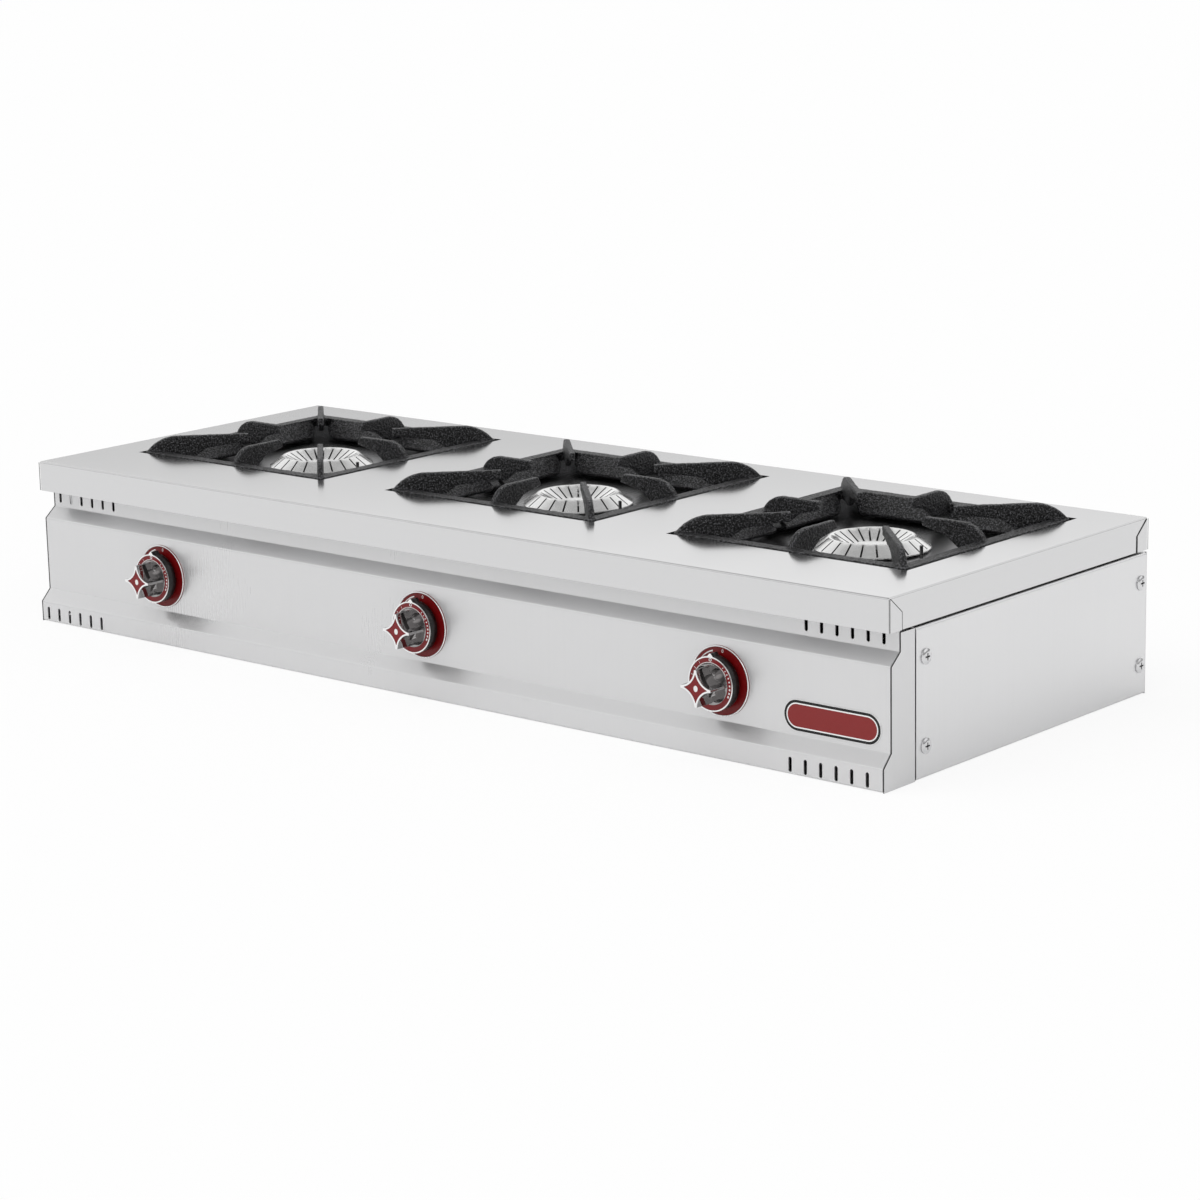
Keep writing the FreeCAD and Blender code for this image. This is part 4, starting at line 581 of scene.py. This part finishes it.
def dress_knob(place):
    """Bright edges on the disc and the star, and the printed lines of the red ring."""
    node = f"knob_{place}"
    low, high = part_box(node)
    radius = (high.x - low.x) / 2
    centre = Vector(((low.x + high.x) / 2, low.y, low.z + radius))
    ring_low, ring_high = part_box(f"knob_insert_{place}")
    ring_radius = (ring_high.x - ring_low.x) / 2
    trim = bmesh.new()
    edge = disc_loop(radius, POINTER_HALF, POINTER_TIP_HALF, POINTER_REACH)
    seat = [Vector(point).normalized() * (ring_radius - TRIM_LAP) for point in edge]
    add_plate(trim, edge, seat, STAR_REACH, STAR_REACH - TRIM)
    star = star_loop(STAR_TIP, STAR_TIP_WIDTH, STAR_WAIST)
    diamond = star_loop(STAR_TIP - STAR_TIP_BORDER, DIAMOND_TIP_WIDTH, STAR_WAIST - STAR_BORDER)
    add_plate(trim, star, diamond, 0.0, -TRIM)
    set_piece(f"knob_trim_{place}", trim, centre, node, [RIM])
    lines = bmesh.new()
    front = ring_high.y - RING_SHEET - low.y
    depths = (front, front - PRINT)
    scale = ring_radius * RING_SCALE_AT
    add_arc_band(lines, *RING_ARC, ring_radius * RING_ARC_AT, RING_ARC_HALF, RING_ARC_HALF, *depths)
    mark = (0.0, ring_radius * RING_MARK_AT)
    circles = [ring_loop(reach, centre=mark, count=32) for reach in RING_MARK_RADII]
    add_plate(lines, *circles, *depths)
    for index, character in enumerate("321"):
        degrees = RING_NUMERAL_START + RING_NUMERAL_STEP * index
        spot = dial_spot(scale, degrees)
        add_numeral(lines, character, RING_NUMERAL, spot, math.radians(degrees), *depths)
    for index in range(TICKS):
        start = TICK_START + TICK_STEP * index
        stop = start + TICK_SWEEP + TICK_GROWTH * index
        add_arc_band(lines, start, stop, scale, TICK_HALF, TICK_HALF, *depths, steps=4)
    set_piece(f"knob_print_{place}", lines, centre, node, [PRINT_WHITE])
    dot = bmesh.new()
    inset = ring_low.y - low.y
    add_plate(dot, ring_loop(*DOT_HALF, count=40), None, inset, inset - PRINT)
    set_piece(f"knob_dot_{place}", dot, centre, node, [PRINT_WHITE])


def bevelled_knob(place):
    """The chromed knob with its hard edges broken, and painted shade, a near-black plate colour, on its
    sideways skirt.
    """
    node = f"knob_{place}"
    bm = copied_mesh(node)
    bmesh.ops.dissolve_limit(bm, angle_limit=FLAT_ANGLE, verts=bm.verts, edges=bm.edges)
    sharp = [edge for edge in bm.edges
             if edge.is_manifold and edge.calc_face_angle(0.0) > BEVEL_ANGLE]
    bmesh.ops.bevel(bm, geom=sharp, offset=BEVEL, segments=2, profile=0.5, affect="EDGES",
                    clamp_overlap=True)
    low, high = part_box(node)
    radius = (high.x - low.x) / 2
    axis = Vector(((low.x + high.x) / 2, 0.0, low.z + radius))
    for face in bm.faces:
        middle = face.calc_center_median() - axis
        if abs(face.normal.y) < SIDEWAYS and math.hypot(middle.x, middle.z) > radius - SKIRT_BAND:
            face.material_index = 1
    mesh = mesh_from(bm, f"chrome_knob_{place}", 35.0)
    add_piece(f"chrome_knob_{place}", mesh, node, [CHROME, SHADED_SKIRT], [node])


# ---------------------------------------------------------------- badge

BADGE_EDGE = 0.3 * MM
BADGE_BLACK = 3.0 * MM
BADGE_SILVER = 4.3 * MM


def dress_badge():
    """Nested bands on the badge: bright edge, black line, bright line and a bare red field."""
    low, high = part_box("badge_plate")
    length = high.x - low.x
    height = high.z - low.z
    middle = Vector(((low.x + high.x) / 2, low.y, (low.z + high.z) / 2))
    edge = pill_loop(length, height, BADGE_EDGE)
    black = pill_loop(length, height, BADGE_BLACK)
    silver = pill_loop(length, height, BADGE_SILVER)
    bands = bmesh.new()
    add_plate(bands, edge, black, 0.0, -PRINT, 0)
    add_plate(bands, black, silver, 0.0, -PRINT * 3, 1)
    add_plate(bands, silver, None, 0.0, -PRINT * 2, 2)
    set_piece("badge_face", bands, middle, "badge_plate", [PRINT_BLACK, RIM, BADGE_RED])


# ---------------------------------------------------------------- painted copies

# How squarely a slot's wall faces round its crown, and sizes of the screws and the hob's folds.
SLOT_WALL_LEAN = 0.93
SCREW_HEAD = 7.85 * MM
SCREW_CROSS = 3.8 * MM
SCREW_DIP = (0.35 * MM, 2.2 * MM)
TAB_SHEET = 0.8 * MM
TAB_WIDTH = 19.8 * MM
TAB_MITRE = 17.0 * MM
SEAM = 0.8 * MM
TAB_GAP = 1.9 * MM
SEAM_SHEET = 0.05 * MM


def repaint(node, name, materials, is_second):
    """A copy of a node with its second material on the faces that pass the test."""
    bm = copied_mesh(node)
    for face in bm.faces:
        if is_second(face.normal, face.calc_center_median()):
            face.material_index = 1
    body = frame["nodes"][node]["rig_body"]
    add_piece(name, mesh_from(bm, name, 25.0), body, materials, [node])


def crown_with_shaded_slots(place):
    """The burner crown with painted shade, near black, on the walls of its slots."""
    node = f"burner_crown_{place}"
    middle = centre_of(node)

    def is_wall(normal, spot):
        across = Vector((middle.y - spot.y, spot.x - middle.x, 0.0)).normalized()
        return abs(normal.dot(across)) > SLOT_WALL_LEAN

    repaint(node, f"slotted_crown_{place}", [CROWN, PAINTED_SHADE], is_wall)


def shaded_screws():
    """The side screws with their cross recesses in shadow."""
    low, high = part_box("side_screws")
    middle = (low + high) / 2

    def is_recess(normal, spot):
        y = low.y + SCREW_HEAD if spot.y < middle.y else high.y - SCREW_HEAD
        z = low.z + SCREW_HEAD if spot.z < middle.z else high.z - SCREW_HEAD
        dip = high.x - abs(spot.x)
        return math.hypot(spot.y - y, spot.z - z) < SCREW_CROSS and SCREW_DIP[0] < dip < SCREW_DIP[1]

    repaint("side_screws", "cross_screws", [SCREW, PAINTED_SHADE], is_recess)


def seamed_cheeks():
    """The fascia's end plates with their thin edges, all but the back one, in shadow."""
    for side in SIDES:
        node = f"fascia_cheek_{side}"
        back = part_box(node)[1].y - SEAM
        repaint(node, f"end_plate_{side}", [FASCIA_STEEL, PAINTED_SHADE],
                lambda normal, spot: abs(normal.x) < SIDEWAYS and spot.y < back)


def make_corner_seams():
    """Painted shade in the narrow gap round each lapped tab at the hob's corners, and a strip of it
    along each corner.
    """
    low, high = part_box("hob_top")
    for side, sign in (("left", -1), ("right", 1)):
        for end, edge, inward in (("front", low.y, 1), ("back", high.y, -1)):
            top, bend = high.z - SEAM * 2, high.z - TAB_MITRE
            tab, corner = edge + TAB_WIDTH * inward, edge + SEAM * 2 * inward
            gap, lap = TAB_GAP * inward, SEAM * inward
            outline = [(tab, low.z), (tab, bend), (corner, top),
                       (corner + gap, top), (tab + gap, bend), (tab + gap, low.z)]
            fold = [(edge, low.z), (edge, top), (edge + lap, top), (edge + lap, low.z)]
            bm = bmesh.new()
            add_plate(bm, outline, None, TAB_SHEET, TAB_SHEET - SEAM_SHEET)
            add_plate(bm, fold, None, 0.0, -SEAM_SHEET)
            for vertex in bm.verts:
                along, depth, up = vertex.co
                vertex.co = (sign * (high.x - depth), along, up)
            set_piece(f"corner_seam_{side}_{end}", bm, Vector(), "hob_top", [PAINTED_SHADE])


# ---------------------------------------------------------------- pan supports

CAST_VOXEL = 1.1 * MM
CAST_SMOOTHING = 3
CAST_SKIN = 0.30 * MM
CAST_SWELL = 0.20 * MM
SKIN_GRAIN = 330.0
SKIN_SWELLS = 60.0


def rough_offset(point):
    """How far a casting's skin stands out at a point: soft swells and a sandy grain."""
    swell = noise.noise(point * SKIN_SWELLS) * CAST_SWELL
    grain = noise.noise(point * SKIN_GRAIN) * CAST_SKIN
    return swell + grain


def cast_mesh():
    """The pan support as a rounded, rough casting, modelled on the middle one."""
    bm = copied_mesh("pan_support_middle")
    draft = bpy.data.meshes.new("cast_draft")
    bm.to_mesh(draft)
    bm.free()
    piece = bpy.data.objects.new("cast_draft", draft)
    bpy.context.scene.collection.objects.link(piece)
    remesh = piece.modifiers.new("voxels", "REMESH")
    remesh.mode = "VOXEL"
    remesh.voxel_size = CAST_VOXEL
    soften = piece.modifiers.new("soften", "SMOOTH")
    soften.factor = 0.5
    soften.iterations = CAST_SMOOTHING
    mesh = apply_modifiers(piece)
    bpy.data.objects.remove(piece)
    normals = [vertex.normal.copy() for vertex in mesh.vertices]
    for vertex, normal in zip(mesh.vertices, normals):
        vertex.co += normal * rough_offset(vertex.co)
    mesh.name = "cast_support"
    mesh.shade_smooth()
    mesh.materials.clear()
    mesh.materials.append(IRON)
    return mesh


def make_pan_supports():
    """The three castings, which share one mesh."""
    mesh = cast_mesh()
    middle = centre_of("pan_support_middle")
    for place in PLACES:
        node = f"pan_support_{place}"
        piece = bpy.data.objects.new(f"cast_support_{place}", mesh)
        bpy.context.scene.collection.objects.link(piece)
        piece.location = centre_of(node) - middle
        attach(piece, node)
        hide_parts(node)


# ---------------------------------------------------------------- camera, light, stage


def make_camera():
    """The photograph's viewing angle."""
    data = bpy.data.cameras.new("view")
    data.lens = CAMERA_LENS
    data.sensor_width = CAMERA_SENSOR
    data.clip_start = 0.05
    data.clip_end = 200.0
    camera = bpy.data.objects.new("view", data)
    back = CAMERA_RIGHT.cross(CAMERA_UP)
    turn = Matrix((CAMERA_RIGHT, CAMERA_UP, back)).transposed()
    camera.matrix_world = Matrix.Translation(CAMERA_AT) @ turn.to_4x4()
    bpy.context.scene.collection.objects.link(camera)
    bpy.context.scene.camera = camera


def make_sun(name, strength, spread_angle, height, heading):
    """A soft sun from a height above the horizon and a heading round from the front."""
    data = bpy.data.lights.new(name, "SUN")
    data.energy = strength
    data.angle = math.radians(spread_angle)
    sun = bpy.data.objects.new(name, data)
    rise = math.radians(height)
    round_ = math.radians(heading)
    towards = Vector((
        math.sin(round_) * math.cos(rise), -math.cos(round_) * math.cos(rise), math.sin(rise),
    ))
    sun.rotation_mode = "QUATERNION"
    sun.rotation_quaternion = towards.to_track_quat("Z", "Y")
    sun.visible_glossy = False
    bpy.context.scene.collection.objects.link(sun)


# What metal sees of the studio: the height of a direction above the horizon, and its brightness.
STUDIO_HEIGHTS = (
    (0.00, 0.26), (0.13, 0.34), (0.17, 0.46), (0.19, 0.60), (0.22, 1.00), (0.27, 0.94),
    (0.40, 0.82), (0.62, 0.74), (0.74, 0.56), (0.84, 0.34), (1.00, 0.26),
)
STUDIO_GAIN = 1.18
STUDIO_AMBIENT = 0.60

# A soft box that only reflections show, at the front right: its direction, edge and brightness.
SOFT_BOX = Vector((0.50, -0.62, 0.60)).normalized()
SOFT_BOX_EDGE = (math.cos(math.radians(15.0)), math.cos(math.radians(10.0)))
SOFT_BOX_GAIN = 2.4


def make_world():
    """A plain studio: dim at the horizon, white above it, greyer overhead in what metal reflects."""
    world = bpy.data.worlds.new("studio")
    world.use_nodes = True
    bpy.context.scene.world = world
    tree = world.node_tree
    tree.nodes.clear()

    def add(kind, slots=None, **settings):
        return add_node(world, kind, slots, **settings)

    ray = add("ShaderNodeLightPath")
    place = add("ShaderNodeTexCoord")
    split = add("ShaderNodeSeparateXYZ", {"Vector": place.outputs["Generated"]})
    ramp = add("ShaderNodeValToRGB", {"Fac": split.outputs["Z"]})
    stops = ramp.color_ramp.elements
    for height, _ in STUDIO_HEIGHTS[1:-1]:
        stops.new(height)
    for stop, (height, level) in zip(stops, STUDIO_HEIGHTS):
        stop.position = height
        stop.color = (level, level, level, 1.0)
    white = (1.0, 1.0, 1.0, 1.0)
    ambient = add("ShaderNodeBackground", {"Color": white, "Strength": STUDIO_AMBIENT})
    towards = add("ShaderNodeVectorMath", {0: place.outputs["Generated"], 1: SOFT_BOX},
                  operation="DOT_PRODUCT")
    box = add("ShaderNodeMapRange", {
        "Value": towards.outputs["Value"], "From Min": SOFT_BOX_EDGE[0], "From Max": SOFT_BOX_EDGE[1],
        "To Min": STUDIO_GAIN, "To Max": SOFT_BOX_GAIN,
    }, interpolation_type="SMOOTHSTEP")
    glossy = add("ShaderNodeBackground", {
        "Color": ramp.outputs["Color"], "Strength": box.outputs["Result"],
    })
    seen = add("ShaderNodeBackground", {"Color": white, "Strength": 1.0})
    shiny = add("ShaderNodeMath", {
        0: ray.outputs["Is Glossy Ray"], 1: ray.outputs["Is Transmission Ray"],
    }, operation="MAXIMUM")
    lit = add("ShaderNodeMixShader", {
        0: shiny.outputs[0], 1: ambient.outputs[0], 2: glossy.outputs[0],
    })
    whole = add("ShaderNodeMixShader", {
        0: ray.outputs["Is Camera Ray"], 1: lit.outputs[0], 2: seen.outputs[0],
    })
    add("ShaderNodeOutputWorld", {"Surface": whole.outputs[0]})


FLOOR_HALF = 60.0
FLOOR_TUCK = 4.0 * MM
FLOOR_GLOW = 0.84
FLOOR_GLOW_MIRRORED = 0.03
FLOOR_DROP = 0.2 * MM
FLOOR_PAINT = (0.92, 0.92, 0.92, 1.0)
# The floor's darker colour under the object: painted shade.
FLOOR_SHADE_UNDER = (0.60, 0.60, 0.60)


def make_floor():
    """A wide pale floor that keeps the object's soft shadow. It has no glow under the object, where its
    darker colour is painted shade.
    """
    front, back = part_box("fascia")[0].y + FLOOR_TUCK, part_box("rear_panel")[1].y - FLOOR_TUCK
    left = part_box("side_panel_left")[0].x + FLOOR_TUCK
    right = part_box("side_panel_right")[1].x - FLOOR_TUCK
    outer = [(-FLOOR_HALF, -FLOOR_HALF, 0), (FLOOR_HALF, -FLOOR_HALF, 0),
             (FLOOR_HALF, FLOOR_HALF, 0), (-FLOOR_HALF, FLOOR_HALF, 0)]
    inner = [(left, front, 0), (right, front, 0), (right, back, 0), (left, back, 0)]
    sides = [(side, (side + 1) % 4, 4 + (side + 1) % 4, 4 + side) for side in range(4)]
    mesh = bpy.data.meshes.new("floor")
    mesh.from_pydata(outer + inner, [], sides + [(4, 5, 6, 7)])
    floor = bpy.data.objects.new("floor", mesh)
    floor.location.z = -FLOOR_DROP
    bpy.context.scene.collection.objects.link(floor)
    material = bpy.data.materials.new("floor")
    material.use_nodes = True
    material.node_tree.nodes.clear()
    ray = add_node(material, "ShaderNodeLightPath")
    paint = add_node(material, "ShaderNodeBsdfDiffuse", {"Color": FLOOR_PAINT})
    glow = add_node(material, "ShaderNodeEmission", {"Strength": 1.0})
    seen = add_node(material, "ShaderNodeMath", {0: ray.outputs["Is Camera Ray"], 1: FLOOR_GLOW},
                    operation="MULTIPLY")
    mirrored = add_node(material, "ShaderNodeMath", {
        0: ray.outputs["Is Glossy Ray"], 1: FLOOR_GLOW_MIRRORED, 2: seen.outputs[0],
    }, operation="MULTIPLY_ADD")
    mixed = add_node(material, "ShaderNodeMixShader", {
        0: mirrored.outputs[0], 1: paint.outputs[0], 2: glow.outputs[0],
    })
    add_node(material, "ShaderNodeOutputMaterial", {"Surface": mixed.outputs[0]})
    mesh.materials.append(material)
    mesh.materials.append(new_material("floor_painted_shade", {"Base Color": FLOOR_SHADE_UNDER, "Roughness": 1.0}))
    mesh.polygons[4].material_index = 1


make_camera()
make_world()
make_sun("key", strength=1.15, spread_angle=70.0, height=58.0, heading=-35.0)
make_sun("fill", strength=0.55, spread_angle=90.0, height=42.0, heading=70.0)
make_floor()
finish_nodes()
make_pan_supports()
for knob_place in PLACES:
    dress_bezel(knob_place)
    bevelled_knob(knob_place)
    dress_knob(knob_place)
    crown_with_shaded_slots(knob_place)
dress_badge()
shaded_screws()
seamed_cheeks()
make_corner_seams()
bpy.context.scene.view_settings.view_transform = "Standard"
